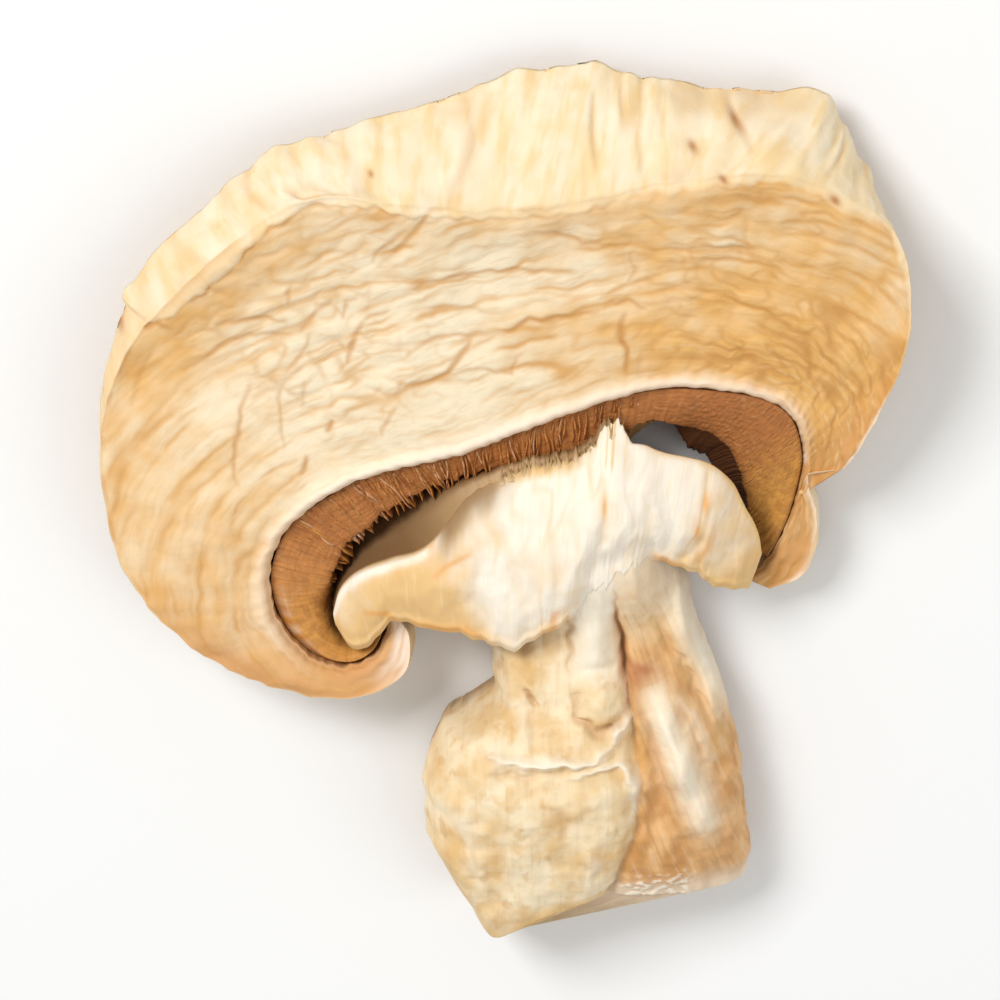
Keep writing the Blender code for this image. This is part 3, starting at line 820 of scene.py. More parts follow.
def gill_bed(lines):
    """Rings of the tissue that the gills stand on, with its masks and grain."""
    s, row = lines.s, lines.row
    reach = lines.free - lines.gill[:, 0:2]
    inward, width = unit(reach), length(reach)
    crescent = 1 - ease(row, 5.2, 6.6)
    comb = within(row, (5.4, 7.2), (12.4, 13.6))
    band = ease(row, 12.6, 14.0)
    crack = GILL_GAP * lines.by_row([0, 5.5, 8, 12, 15.8, 17, 20], [0.7, 0.7, 0.4, 0.1, 0.1, 0.5, 0.8])
    start = lines.gill[:, 0:2] + inward * crack
    ragged = 0.16 * noise(s / 0.7, 1.0, seed=70) * (0.3 + comb) + 0.12 * noise(s / 2.3, 2.0, seed=71)
    meet = lines.by_row([12.4, 13, 14, 15, 16, 17, 18.6, 19.8], [0, -0.6, -0.5, -0.5, -0.3, 0.25, 0.6, 0.6])
    free = lines.free + inward * (ragged - 0.35 * comb + meet)

    t = np.linspace(0.0, 1.0, GILL_TOP_POINTS)
    flow = width * t
    roll = np.sqrt(np.clip(1 - ((t - 0.3) / 0.7) ** 2, 0, 1))
    roll = np.where(t < 0.3, mix(0.55, 1.0, ease(t, 0.0, 0.25)), roll)
    depth = crescent * (0.25 + 1.3 * (1 - roll)) + comb * (0.42 + 0.55 * t) + band * (0.18 + 1.15 * t**1.6)
    strip = crescent + ease(row, 16.6, 17.6)
    top_z = lines.gill[:, 2:] - depth
    top_z = top_z + 0.045 * strip * noise(s / 2.6, flow / 0.16, seed=72)
    top_z = top_z + 0.08 * band * (1 - 0.6 * strip) * noise(s / 0.22, flow / 0.26, seed=73)
    ribs = noise(s / (0.8 * LAMELLA_PITCH), flow / 2.0, seed=74)
    top_z = top_z + 0.10 * (1 - band) * (1 - 0.85 * crescent) * ribs
    top = with_height(between(start, free, t), top_z)

    foot = lines.foot + 0.25
    down = shares(GILL_INNER_POINTS)
    inner_z = mix(top_z[:, -1:], foot, down)
    wave = 0.10 * noise(s / 0.3, inner_z / 3.0, seed=75)
    flare = lines.by_row([13.2, 14.2, 16.4, 17.6, 18.6], [0.0, 1.5, 1.5, 0.8, 0.0])
    lean = 0.25 * np.sin(math.pi * down) * crescent + wave + flare * down**1.3
    inner_xy = free[:, None] + inward[:, None] * lean[..., None]
    under_xy = between(inner_xy[:, -1], start, shares(GILL_FOOT_POINTS))
    outer_z = mix(foot, top_z[:, :1], np.linspace(0.0, 1.0, GILL_OUTER_POINTS + 2)[1:-1])
    outer_xy = np.broadcast_to(start[:, None], (*outer_z.shape, 2))
    rest = [with_height(inner_xy, inner_z), with_height(under_xy, foot), with_height(outer_xy, outer_z)]
    grid = np.concatenate([top, *rest], axis=1)

    masks, grain = blank(grid, GILL_MASKS, s)
    front, others = np.s_[:, :GILL_TOP_POINTS], np.s_[:, GILL_TOP_POINTS:]
    masks["ochre"][:] = lines.by_row(
        [0, 4, 5.2, 6.2, 7, 12, 14, 16, 16.8, 17.6, 20],
        [0.85, 0.85, 0.75, 0.3, 0.05, 0.0, 0.0, 0.1, 0.5, 0.95, 0.95],
    )
    # Painted shade at the crack and where the top drops into the chamber, and all over the sides down in it.
    masks["dark"][front] = 0.7 * bell(flow, 0.0, 0.14) * (crack / GILL_GAP) + 0.3 * ease(t, 0.86, 1.0)
    masks["dark"][others] = np.clip(0.66 + flare, 0.0, 1.0)
    # sheen is a painted highlight along the trough.
    sheen = bell(row, 4.9, 0.9) * bell(t, 0.16, 0.12)
    masks["pale"][front] = np.clip(0.9 * sheen * ease(noise(s / 0.9, 3.0, seed=76), -0.5, 0.5), 0, 1)
    uneven = noise(s / 0.4, 4.0, seed=77) * (1 - 0.8 * crescent) * (1 - 0.7 * band)
    masks["tone"][:] = 0.5 + 0.5 * uneven - 0.3 * band
    grain[(*front, 1)] = flow
    grain[(*others, 1)] = width + (top_z[:, -1:] - grid[..., 2][others])
    return grid, masks, grain


def plate_faces(first):
    """Faces of one gill: its two sides, and the strip round their edge that joins them."""
    across, levels = LAMELLA_POINTS, LAMELLA_LEVELS
    side = first + np.arange(across * levels).reshape(levels, across)
    other = across * levels
    faces = []
    for i in range(across - 1):
        for j in range(levels - 1):
            quad = [int(k) for k in (side[j, i], side[j, i + 1], side[j + 1, i + 1], side[j + 1, i])]
            faces.append(quad[::-1])
            faces.append([k + other for k in quad])
    edge = [*side[0], *side[1:, -1], *side[-1, -2::-1], *side[-2:0:-1, 0]]
    for a, b in zip(edge, edge[1:] + edge[:1]):
        faces.append([int(k) for k in (a, b, b + other, a + other)])
    return faces


def lamellae(lines, random):
    """Thin upright gills across the middle of the chamber, each a wavy plate with a ragged edge."""
    first, last = LAMELLA_FIRST_ROW, LAMELLA_LAST_ROW
    rows, s = lines.row[:, 0], lines.s[:, 0]
    inside = s[(rows > first) & (rows < last)]
    places = np.arange(inside[0], inside[-1], LAMELLA_PITCH)
    places = places + random.uniform(-0.09, 0.09, len(places))
    u = np.linspace(0.0, 1.0, LAMELLA_POINTS)
    points, faces, masks, grain = [], [], {key: [] for key in GILL_MASKS}, []
    for place in places:
        at = int(np.argmin(np.abs(s - place)))
        row, gill = rows[at], lines.gill[at]
        reach = lines.free[at] - gill[0:2]
        inward = unit(reach)
        side = np.array([-inward[1], inward[0]])
        longer = random.uniform(-0.35, 0.3) + 0.35 * bell(row, 10.4, 1.2) - 0.7 * ease(row, 12.0, 12.8)
        start = GILL_GAP + 0.02
        run = start + (np.linalg.norm(reach) + longer - start) * u
        low = lines.foot[at, 0] + 0.35
        fade = within(row, (first, first + 0.9), (last - 0.7, last))
        ragged = np.interp(u * 9, np.arange(10), random.uniform(-0.16, 0.12, 10))
        crest = gill[2] - 0.32 - mix(0.55, 0.075, fade) - 0.75 * u**1.4 + ragged * ease(u, 0.0, 0.2)
        lean = random.uniform(-0.16, 0.16)
        turn = random.uniform(-0.14, 0.14)
        wave = 0.07 * np.sin(run * random.uniform(1.5, 3.5) + random.uniform(0, 6.3)) + turn * (run - start)
        tone = random.uniform(0, 1)
        ochre = np.clip(random.normal(0.16, 0.18) + 0.4 * (1 - ease(row, 5.8, 7.4)), 0, 1)
        faces += plate_faces(sum(map(len, points)))
        for face_side in (1, -1):
            for v in np.linspace(0.0, 1.0, LAMELLA_LEVELS):
                thick = LAMELLA_THICK * (0.35 + 0.65 * v**0.7) * (1 - 0.6 * u**3)
                off = wave + lean * (1 - v) + face_side * thick
                edge = np.where(u > 0.93, 0.12 * v, 0.0)
                xy = gill[0:2] + inward * (run - edge)[:, None] + side * off[:, None]
                points.append(with_height(xy, mix(crest, low, v)))
                grain.append(np.column_stack([np.full_like(u, place), run + 2.0 * v]))
                masks["ochre"].append(ochre + 0.25 * (random.uniform(size=len(u)) > 0.9))
                # Painted shade, darker down each gill and at its root.
                masks["dark"].append(0.42 * ease(v, 0.1, 0.7) + 0.25 * bell(run, start, 0.15))
                masks["tone"].append(np.full_like(u, tone))
                masks["pale"].append(np.full_like(u, 0.35 * (tone > 0.85) * (1 - ease(v, 0.0, 0.12))))
    masks = {key: np.concatenate(values) for key, values in masks.items()}
    return np.concatenate(points), faces, masks, np.concatenate(grain)


def gills_piece():
    """The tissue that the gills stand on, and the gills."""
    lines = CapLines(GILL_STATIONS, GILL_FIRST_ROW, GILL_LAST_ROW)
    bed = loft("gill_bed", *gill_bed(lines))
    points, faces, masks, grain = lamellae(lines, np.random.default_rng(11))
    for x, y, size in SPECKS:
        near = bell(np.hypot(points[:, 0] - x, points[:, 1] - y), 0.0, size)
        masks["pale"] = np.maximum(masks["pale"], 2.0 * near * (masks["dark"] < 0.5))
    return bed, mesh_piece("gill_plates", points, faces, masks, grain)


# ---------------------------------------------------------------- veil

VEIL_STATIONS = 460
# Points of each ring: down the front, back along the underside, and up the wall in the chamber.
VEIL_TOP_POINTS = 88
VEIL_UNDER_POINTS = 20
VEIL_WALL_POINTS = 16
VEIL_FRONT = np.s_[:, :VEIL_TOP_POINTS]
VEIL_BACK = np.s_[:, VEIL_TOP_POINTS:]
# shade is painted shade, and also the brown of the torn fibres' tips.
VEIL_MASKS = ("gold", "deep", "shade", "orange")
VEIL_WALL = np.linspace(0.0, 1.0, VEIL_WALL_POINTS + 2)[1:-1]  # the levels of its wall, from the foot up
VEIL_DEPTH = (1 - VEIL_WALL) ** 1.6  # and how far down each lies
SETTLES = (0.3, 3.4)  # how far above its hem the veil starts to come down onto the neck

# The arm's end is rounder than in the solid model: these rows take the place of its first two.
ARM_ROWS = (
    ((-8.25, -4.3, 3.8), (-8.15, -4.9, 3.7), 0.1, 0.5),
    ((-8.0, -3.3, 4.0), (-7.5, -6.0, 3.7), 0.4, 0.6),
    ((-7.5, -2.5, 4.3), (-6.7, -6.05, 3.8), 0.5, 0.7),
    ((-6.6, -1.8, 4.6), (-6.0, -5.3, 4.1), 0.5, 0.7),
)
VEIL = flat_rows((*ARM_ROWS, *VEIL_ROWS[2:]))
VEIL_KNOTS = knots_of(VEIL, 0, 3)
VEIL_NUMBERS = (0.0, 0.5, 1.0, 1.5, *range(2, len(VEIL_ROWS)))

# Where the veil's inner side ends, deep in the chamber, one point for each of its first nine rows.
# After the sixth, only the height is used.
VEIL_FEET = np.array((
    (-8.4, -4.4, 1.6),
    (-8.3, -3.0, 0.9),
    (-7.1, -0.7, 0.9),
    (-5.2, 0.7, 1.1),
    (-2.4, 2.3, 2.8),
    (0.7, 3.5, 3.0),
    (3.2, 4.1, 3.2),
    (5.2, 5.2, 3.3),
    (7.3, 4.2, 3.3),
))
# Pleats in the veil: width, strength and a few points each.
VEIL_FOLDS = (
    (0.30, 0.7, ((-0.8, 2.0), (0.2, -0.4), (1.2, -3.6))),
    (0.25, 0.8, ((4.7, 3.6), (4.8, 1.8), (4.6, 0.2))),
    (0.25, 0.5, ((1.8, 2.6), (2.4, 0.2), (2.6, -2.4))),
    (0.25, 0.5, ((3.2, 1.6), (3.6, -0.6), (3.4, -3.0))),
    (0.25, 0.5, ((6.8, 2.8), (6.9, 1.0), (6.4, -0.6))),
    (0.30, 0.9, ((9.4, 0.2), (8.9, -0.6), (8.2, -1.2))),
)
# Orange stains on the veil: spots with their place (x, y) and size (x, y), then lines in the same form.
VEIL_SPOTS = (
    (9.6, 1.9, 0.18, 0.5),
    (9.2, 0.6, 0.2, 0.5),
    (4.75, 2.2, 0.10, 0.6),
    (-3.5, 0.0, 0.22, 0.5),
)
VEIL_SEAMS = (
    (0.16, 0.9, ((-6.8, -3.9), (-5.7, -3.9), (-5.0, -4.5))),
    (0.26, 0.9, ((-5.0, -4.5), (-3.9, -4.4), (-3.0, -4.5), (-1.8, -4.4), (-1.0, -4.9))),
    (0.20, 0.9, ((1.5, -5.0), (2.3, -4.4), (2.4, -3.4), (2.7, -3.2))),
    (0.18, 0.5, ((2.9, -3.2), (3.0, -4.4), (2.9, -5.8))),
    (0.16, 0.5, ((5.2, -1.0), (5.5, -2.4), (5.6, -3.6))),
    (0.28, 1.0, ((7.1, -0.7), (8.0, -1.3), (8.6, -1.7))),
    (0.14, 0.8, ((-3.4, -1.7), (-2.9, -1.2), (-1.6, -0.3))),
    (0.16, 0.6, ((7.0, -0.9), (7.6, -1.5), (8.1, -1.9))),
    (0.22, 0.8, ((9.9, 0.4), (9.7, -0.4), (9.2, -1.2))),
)


class Veil:
    """The veil at many stations: its edges, its front, and the wrinkles on it."""

    def __init__(self):
        at = np.linspace(0.0, 1.0, VEIL_STATIONS)
        read = smooth(VEIL, VEIL_KNOTS, at)
        self.top, self.hem, self.swell, self.thick = np.split(read, (3, 6, 7), axis=1)
        self.row = np.interp(at, VEIL_KNOTS, VEIL_NUMBERS)[:, None]
        self.s = length_along((self.top + self.hem) / 2)[:, None]
        self.way_down = unit(self.hem[:, 0:2] - self.top[:, 0:2])
        self.ends = within(self.row, (0.0, 0.7), (10.4, 11.0))
        self.fringe = bell(self.row, 5.4, 1.2)
        self.tuft = within(self.row, (6.55, 6.8), (7.15, 7.45))
        self.merged = within(self.row, (5.9, 6.8), (7.9, 8.5))
        self.arm = 1 - ease(self.row, 2.6, 4.2)

    def make_front(self):
        """The front, with torn fibres along its upper edge and a ragged hem that runs into the neck."""
        row, s = self.row, self.s
        teeth = np.abs(noise(s / 0.5, 1.0, seed=80)) + 0.4 * np.abs(noise(s / 0.24, 2.0, seed=81))
        shoulder = 0.3 * within(row, (7.3, 7.8), (9.4, 10.0))
        rise = (0.4 * teeth * self.fringe + self.tuft * (0.5 + 0.9 * teeth) + shoulder) * self.ends
        loose = 0.22 * noise(s / 0.8, 3.0, seed=82) + 0.22 * noise(s / 2.0, 4.0, seed=83)
        loose = loose * self.ends * ease(row, 0.8, 2.0)
        fibres = 1.1 * np.abs(noise(s / 0.8, 6.0, seed=107)) + 0.5 * np.abs(noise(s / 0.3, 7.0, seed=108))
        drop = mix(loose, 0.2 + fibres, self.merged)
        self.hem[:, 2:] += 0.18 * noise(s / 1.3, 5.0, seed=84) * self.ends
        t = np.linspace(0.0, 1.0, VEIL_TOP_POINTS)
        self.front = between(self.top, self.hem, t)
        self.long = length(self.hem - self.top)
        self.flow = self.long * t
        self.to_hem = self.long - self.flow
        near_top = bell(self.flow, 0.0, 0.6)
        shift = drop * bell(self.to_hem, 0.0, 1.5) - rise * near_top
        self.front[..., 0:2] += self.way_down[:, None] * shift[..., None]
        self.front[..., 2] -= 0.5 * rise * near_top
        self.front[..., 0] += 0.4 * ease(row, 9.6, 10.8)
        self.top, self.hem = self.front[:, 0].copy(), self.front[:, -1].copy()
        self.x, self.y = self.front[..., 0], self.front[..., 1]
        self.front[..., 2] += self.swell * np.sin(math.pi * t) ** 0.85

    def wrinkle(self):
        """Lumps, fine strands and pleats, which fade towards the edges."""
        bow = 1.1 * noise(self.s / 2.0, self.flow / 2.2, seed=85)
        self.strand = noise((self.s + bow) / 0.95, self.flow / 3.6, seed=86)
        thread = noise((self.s + bow) / 0.3, self.flow / 1.3, seed=87)
        self.lump = cloud(self.x / 2.2, self.y / 2.6, 1.0, seed=88)
        self.fold = (1 - 0.5 * self.arm) * creases((self.s + bow) / 1.5, self.flow / 5.0, 89, 0.13, 0.1)
        self.pleat = drawn(self.x, self.y, VEIL_FOLDS)
        height = (0.10 * self.strand + 0.02 * thread) * (1 - 0.5 * self.arm) - 0.07 * self.fold
        height = height + 0.30 * self.lump - 0.2 * self.pleat
        height = height + 0.18 * bell(self.to_hem, 0.3, 0.25) * (1 - self.merged)
        edge_in = ease(self.flow, 0.0, 0.5) * ease(self.to_hem, 0.0, 0.5)
        self.front[..., 2] += height * mix(0.25, 1.0, edge_in) * self.ends

    def settle(self, neck):
        """Brings the veil down onto the neck where it runs into it, and ends its hem just below."""
        below = top_of(neck, self.x, self.y)
        onto = (1 - ease(self.to_hem, *SETTLES)) * self.merged
        onto = onto * ease(below, 4.3, 4.9) * (1 - ease(self.y, -0.9, 0.8))
        sunk = 0.05 - 0.3 * (1 - ease(self.to_hem, 0.0, 0.5))
        self.front[..., 2] = mix(self.front[..., 2], below + sunk, onto)
        self.hem[:, 2] = self.front[:, -1, 2]

    def inner_side(self):
        """The underside, and the wall that goes down into the chamber towards the gills."""
        top, row = self.top, self.row
        reach = np.interp(row, [4.6, 6.8, 7.5, 8.6, 10.0, 11.0], [-0.1, -0.1, 2.1, 2.5, 2.1, 1.2])
        inner = np.hstack([top[:, 0:2] + 1.05 * np.maximum(reach, 0.0) * self.way_down, top[:, 2:]])
        v = shares(VEIL_UNDER_POINTS)
        under = between(self.hem, inner, v)
        under[..., 2] = np.maximum(under[..., 2] + self.swell * np.sin(math.pi * v) - self.thick, 0.4)
        foot = np.hstack([np.interp(row, np.arange(len(VEIL_FEET)), column) for column in VEIL_FEET.T])
        foot[:, 0:2] = np.where(row > 4.6, top[:, 0:2] + reach * self.way_down, foot[:, 0:2])
        foot[:, 2:] = np.where(row > 7.2, 0.9, foot[:, 2:])
        under[:, -1, 2] = np.minimum(foot[:, 2], under[:, -1, 2] - 0.3)
        wall = between(top, foot, VEIL_DEPTH)
        steep = np.interp(row, [0, 2.2, 4.4, 7, 7.5, 11], [0.4, 0.45, 0.9, 0.9, 1.4, 1.4])
        wall[..., 2] = mix(top[:, 2:], foot[:, 2:], VEIL_DEPTH**steep)
        wall[..., 2] += 0.12 * noise(self.s / 0.9, VEIL_WALL * 4.0, seed=68) * np.sin(math.pi * VEIL_WALL)
        return under, foot[:, None], wall

    def gold(self):
        """How golden the front is, from white in its middle to the arm, the hem and the torn fibres."""
        rows = [0, 1, 2.5, 3.6, 4.6, 7, 8.5, 9.5, 11]
        gold = np.interp(self.row, rows, [0.6, 0.8, 0.95, 0.65, 0.05, 0.0, 0.15, 0.5, 0.9])
        gold = gold + 0.5 * bell(self.to_hem, 0.0, 1.0) * (1 - self.merged) + 0.2 * self.lump
        # A paler line along the arm's upper edge is a painted highlight.
        gold = gold - 0.7 * bell(self.flow, 0.1, 0.3) * self.arm
        gold = gold + 0.9 * self.fringe * self.ends * (1 - ease(self.flow, 0.0, 0.7))
        specks = ease(noise(self.s / 0.3, 1.0, seed=105), 0.0, 0.3)
        gold = gold + 0.7 * self.tuft * specks * (1 - ease(self.flow, 0.8, 2.0))
        return gold + 0.5 * ease(self.row, 7.4, 7.8) * bell(self.flow, 0.0, 0.18)

    def shade(self):
        """Painted shade on the front's upper edge in the hollow and on the wall behind it, and the browner
        tips of the torn fibres.
        """
        hollow = within(self.row, (3.0, 3.5), (4.2, 5.2))
        fuzzy = self.flow + 0.3 * noise(self.s / 0.4, self.flow / 1.5, seed=69)
        shaded = 0.62 * hollow * (1 - ease(fuzzy, -0.2, 2.2))
        tips = 0.3 * self.fringe * self.ends * (1 - ease(fuzzy, 0.0, 0.4))
        rows = [0, 2.6, 3.0, 3.5, 4.0, 4.5, 5, 7.0, 7.6]
        dim = np.interp(self.row, rows, [0.85, 0.8, 0.66, 0.46, 0.37, 0.26, 0.2, 0.5, 1.0])
        wall = mix(dim, 1.0, ease(VEIL_DEPTH, 0.3, 0.9)) * mix(ease(VEIL_DEPTH, 0.003, 0.03), 1.0, hollow)
        return np.clip(np.maximum(shaded, tips), 0, 0.85), wall


def veil_piece(neck):
    """The sheet, closed by its underside and the wall behind it."""
    veil = Veil()
    veil.make_front()
    veil.wrinkle()
    veil.settle(neck)
    grid = np.concatenate([veil.front, *veil.inner_side()], axis=1)
    masks, grain = blank(grid, VEIL_MASKS, veil.s)
    masks["gold"][VEIL_FRONT] = veil.gold()
    masks["gold"][VEIL_BACK] = 0.7
    masks["deep"][VEIL_FRONT] = 0.6 * veil.fold + 0.25 * ease(-veil.strand, 0.1, 0.6) + 0.6 * veil.pleat
    # Painted shade on the underside.
    masks["shade"][VEIL_BACK] = 0.9
    masks["shade"][VEIL_FRONT], masks["shade"][:, -VEIL_WALL_POINTS:] = veil.shade()
    spots = [spot(veil.x, veil.y, *place) for place in VEIL_SPOTS]
    masks["orange"][VEIL_FRONT] = np.maximum.reduce([drawn(veil.x, veil.y, VEIL_SEAMS), *spots])
    grain[(*VEIL_FRONT, 1)] = veil.flow
    grain[(*VEIL_BACK, 1)] = veil.long + np.arange(grid.shape[1] - VEIL_TOP_POINTS) * 0.3
    return loft("veil_sheet", grid, masks, grain)


TUFTS = 90
LONG_TUFTS = 6  # the first ones are longer, and stand at the peak of the upper edge
TUFT_SIDES = 6
TUFT_RINGS = 9


def tuft_faces(first):
    """Faces of one fibre: its sides and its two ends."""
    rings = first + np.arange(TUFT_RINGS * TUFT_SIDES).reshape(TUFT_RINGS, TUFT_SIDES)
    faces = []
    for near, far in zip(rings, rings[1:]):
        for i in range(TUFT_SIDES):
            k = (i + 1) % TUFT_SIDES
            faces.append((int(near[i]), int(near[k]), int(far[k]), int(far[i])))
    return [*faces, rings[0, ::-1].tolist(), rings[-1].tolist()]


def veil_tufts(random):
    """Fibres torn from the veil's upper edge, which still cling to the gills."""
    q = np.linspace(0.0, 1.0, TUFT_RINGS)
    each = np.repeat(q, TUFT_SIDES)
    turn = np.linspace(0, 2 * math.pi, TUFT_SIDES, endpoint=False)[:, None]
    points, faces, grain = [], [], []
    for number in range(TUFTS):
        at_peak = number < LONG_TUFTS
        place = random.normal(7.05, 0.12) if at_peak else mix(4.6, 6.9, random.uniform())
        read = smooth(VEIL, VEIL_KNOTS, np.interp([place], VEIL_NUMBERS, VEIL_KNOTS))[0]
        way = unit(read[0:2] - read[3:5])
        side = np.array([way[1], -way[0]])
        long = random.uniform(0.8, 1.3) if at_peak else random.uniform(0.35, 0.85)
        thick = random.uniform(0.05, 0.12)
        start = read[0:3] + np.array([*(-way * random.uniform(0.2, 0.6)), 0.02])
        drift = random.uniform(-0.25, 0.25)
        bend = drift * q**2 * long + 0.02 * np.sin(q * 5 + random.uniform(0, 6))
        fall = random.uniform(0.3, 0.8) * q**2 * long
        centre = start + np.column_stack([way * long * q[:, None] + side * bend[:, None], -fall])
        around = np.cos(turn) * np.array([*side, 0.0]) * 1.3 + np.sin(turn) * np.array([0.0, 0.0, 1.0])
        radius = thick * (1 - q**1.6) + 0.012
        faces += tuft_faces(number * len(each))
        points.append((centre[:, None] + radius[:, None, None] * around).reshape(-1, 3))
        grain.append(np.column_stack([np.full_like(each, place * 2.0), long * each]))
    outward = np.tile(each, TUFTS)
    masks = {key: np.zeros_like(outward) for key in VEIL_MASKS}
    masks["gold"] += 0.6 + 0.5 * outward
    masks["shade"] += 0.1 + 0.5 * outward
    return mesh_piece("veil_tufts", np.concatenate(points), faces, masks, np.concatenate(grain))


# ---------------------------------------------------------------- stem

STEM_STATIONS = 430
STEM_TOP_POINTS = 112  # over the front
STEM_BACK_POINTS = 24  # back along the face that lies down
STEM_FRONT = np.s_[:, :STEM_TOP_POINTS]
STEM_BACK = np.s_[:, STEM_TOP_POINTS:]
TALLEST = 7.25  # nothing on the slice rises above this

# Lumps and hollows on the stem: place (x, y), size (x, y) and height.
STEM_LUMPS = (
    (4.9, -8.0, 1.0, 0.9, 0.7),
    (4.3, -5.0, 0.9, 1.6, 0.8),
    (4.6, -6.85, 1.3, 0.4, -0.4),
    (2.2, -2.6, 1.6, 1.8, 1.0),
    (1.0, -6.4, 1.3, 1.0, 0.3),
    (2.1, -9.3, 1.5, 1.1, -0.6),
    (0.6, -13.4, 2.4, 1.8, 0.5),
    (-1.4, -11.6, 1.0, 1.2, 0.3),
    (8.6, -4.6, 0.8, 2.4, 0.9),
    (10.4, -8.4, 0.6, 1.8, 0.5),
    (8.0, -6.6, 0.7, 1.2, -0.35),
    (7.9, -9.4, 0.6, 1.6, 0.6),
    (8.7, -11.8, 0.6, 1.8, 0.7),
    (9.6, -14.2, 0.7, 1.4, 0.5),
    (10.7, -11.6, 0.5, 2.0, -0.35),
    (7.4, -12.8, 0.5, 2.8, -0.4),
    (1.6, -15.8, 0.7, 1.2, -0.25),
    (-1.2, -14.6, 0.8, 0.8, 0.2),
    (3.6, -13.2, 0.9, 0.7, 0.2),
)
# Golden brown stains on the stem: place (x, y), size (x, y) and strength.
STEM_STAINS = (
    (2.7, -13.8, 0.7, 0.5, 0.9),
    (0.6, -9.2, 1.3, 0.6, 0.7),
    (-0.4, -16.6, 0.5, 1.8, 0.7),
    (-2.4, -16.0, 1.0, 1.8, 0.7),
    (4.9, -16.3, 1.0, 0.8, 0.7),
    (5.6, -13.2, 0.5, 1.2, 0.6),
    (-3.2, -12.0, 0.6, 1.2, 0.6),
    (1.4, -12.3, 0.9, 0.4, 0.5),
    (6.6, -10.6, 0.4, 1.4, 0.7),
    (10.4, -10.4, 0.4, 1.6, 0.6),
)
# Raised ridges, dents, and golden lines of painted shade in a valley, under the knob and in a hollow on the
# stem: width, strength and a few points each.
STEM_CRESTS = (
    (0.24, 1.0, ((-0.8, -10.8), (0.6, -11.0), (2.0, -10.9), (3.3, -11.0), (4.5, -10.9), (5.2, -10.4))),
    (0.22, 1.0, ((5.2, -10.4), (5.5, -9.5), (6.2, -9.1))),
    (0.20, 0.8, ((3.3, -11.6), (4.4, -11.4), (5.6, -11.2), (6.2, -11.7), (6.4, -13.0), (6.2, -14.4))),
    (0.26, 0.4, ((-0.4, -8.6), (0.8, -8.3), (1.0, -9.6), (0.9, -10.6))),
    (0.26, 0.4, ((-1.8, -12.8), (-2.0, -14.6), (-1.4, -17.0))),
    (0.26, 0.4, ((3.9, -15.4), (4.4, -16.8), (4.2, -17.8))),
    (0.34, 0.22, ((7.2, -8.0), (7.8, -9.6), (8.5, -11.4), (9.2, -13.2), (9.9, -14.8))),
    (0.24, 0.4, ((8.6, -8.4), (9.4, -10.0), (10.2, -11.8))),
)
STEM_DENTS = (
    (0.17, 1.0, ((1.0, -7.8), (1.4, -8.2), (1.45, -8.7))),
    (0.25, 0.9, ((3.4, -7.8), (3.6, -9.0), (4.4, -9.6), (5.2, -9.5), (5.9, -8.8))),
    (0.22, 0.5, ((-0.6, -11.5), (0.8, -11.7), (2.6, -11.6))),
    (0.22, 0.3, ((2.4, -13.2), (3.0, -14.0), (2.8, -15.0))),
    (0.22, 0.3, ((-1.0, -16.4), (-0.6, -18.0), (-0.4, -19.4))),
    (0.20, 0.6, ((2.9, -3.6), (3.2, -5.2), (3.1, -6.8))),
    (0.20, 0.4, ((0.9, -4.6), (1.0, -6.0), (0.9, -7.2))),
    (0.22, 0.5, ((7.6, -5.2), (8.6, -6.8), (9.6, -8.6), (10.4, -10.0))),
    (0.20, 0.4, ((6.9, -9.4), (7.2, -11.2), (7.8, -13.4))),
)
STEM_SHADE_LINES = (
    (0.5, 0.9, ((7.2, -4.8), (8.4, -6.4), (9.6, -8.2), (10.6, -9.6))),
    (0.4, 0.9, ((3.9, -9.1), (4.7, -9.3), (5.6, -8.9))),
    (0.6, 0.5, ((0.6, -9.8), (2.0, -9.9), (3.2, -9.7))),
)
# Pale streaks down the right lobe, the second of them at its edge: a painted highlight along a ridge and
# along the edge.
STEM_STREAKS = (
    (0.8, 0.95, ((7.2, -7.6), (7.9, -9.8), (8.6, -11.6), (9.3, -13.2), (10.1, -15.4))),
    (0.8, 1.0, ((8.4, -3.0), (9.2, -5.6), (10.2, -7.6), (11.0, -9.6))),
)
# How high each lobe stands, from its outer edge to the groove and from the groove to its edge.
LEFT_SECTION = ((0, 0.04, 0.12, 0.28, 0.55, 0.82, 0.95, 1.0), (0.42, 0.68, 0.87, 0.97, 1.0, 0.98, 0.90, 0.81))
RIGHT_SECTION = ((0, 0.08, 0.2, 0.4, 0.62, 0.85, 0.95, 1.0), (1.14, 1.15, 1.14, 1.08, 0.98, 0.84, 0.66, 0.42))
# How open the groove is, from row to row.
OPEN_GROOVE = ((0, 1.2, 1.8, 2.7, 3.2, 4.0, 8), (0.0, 0.1, 1.0, 1.0, 0.5, 0.2, 0.15))


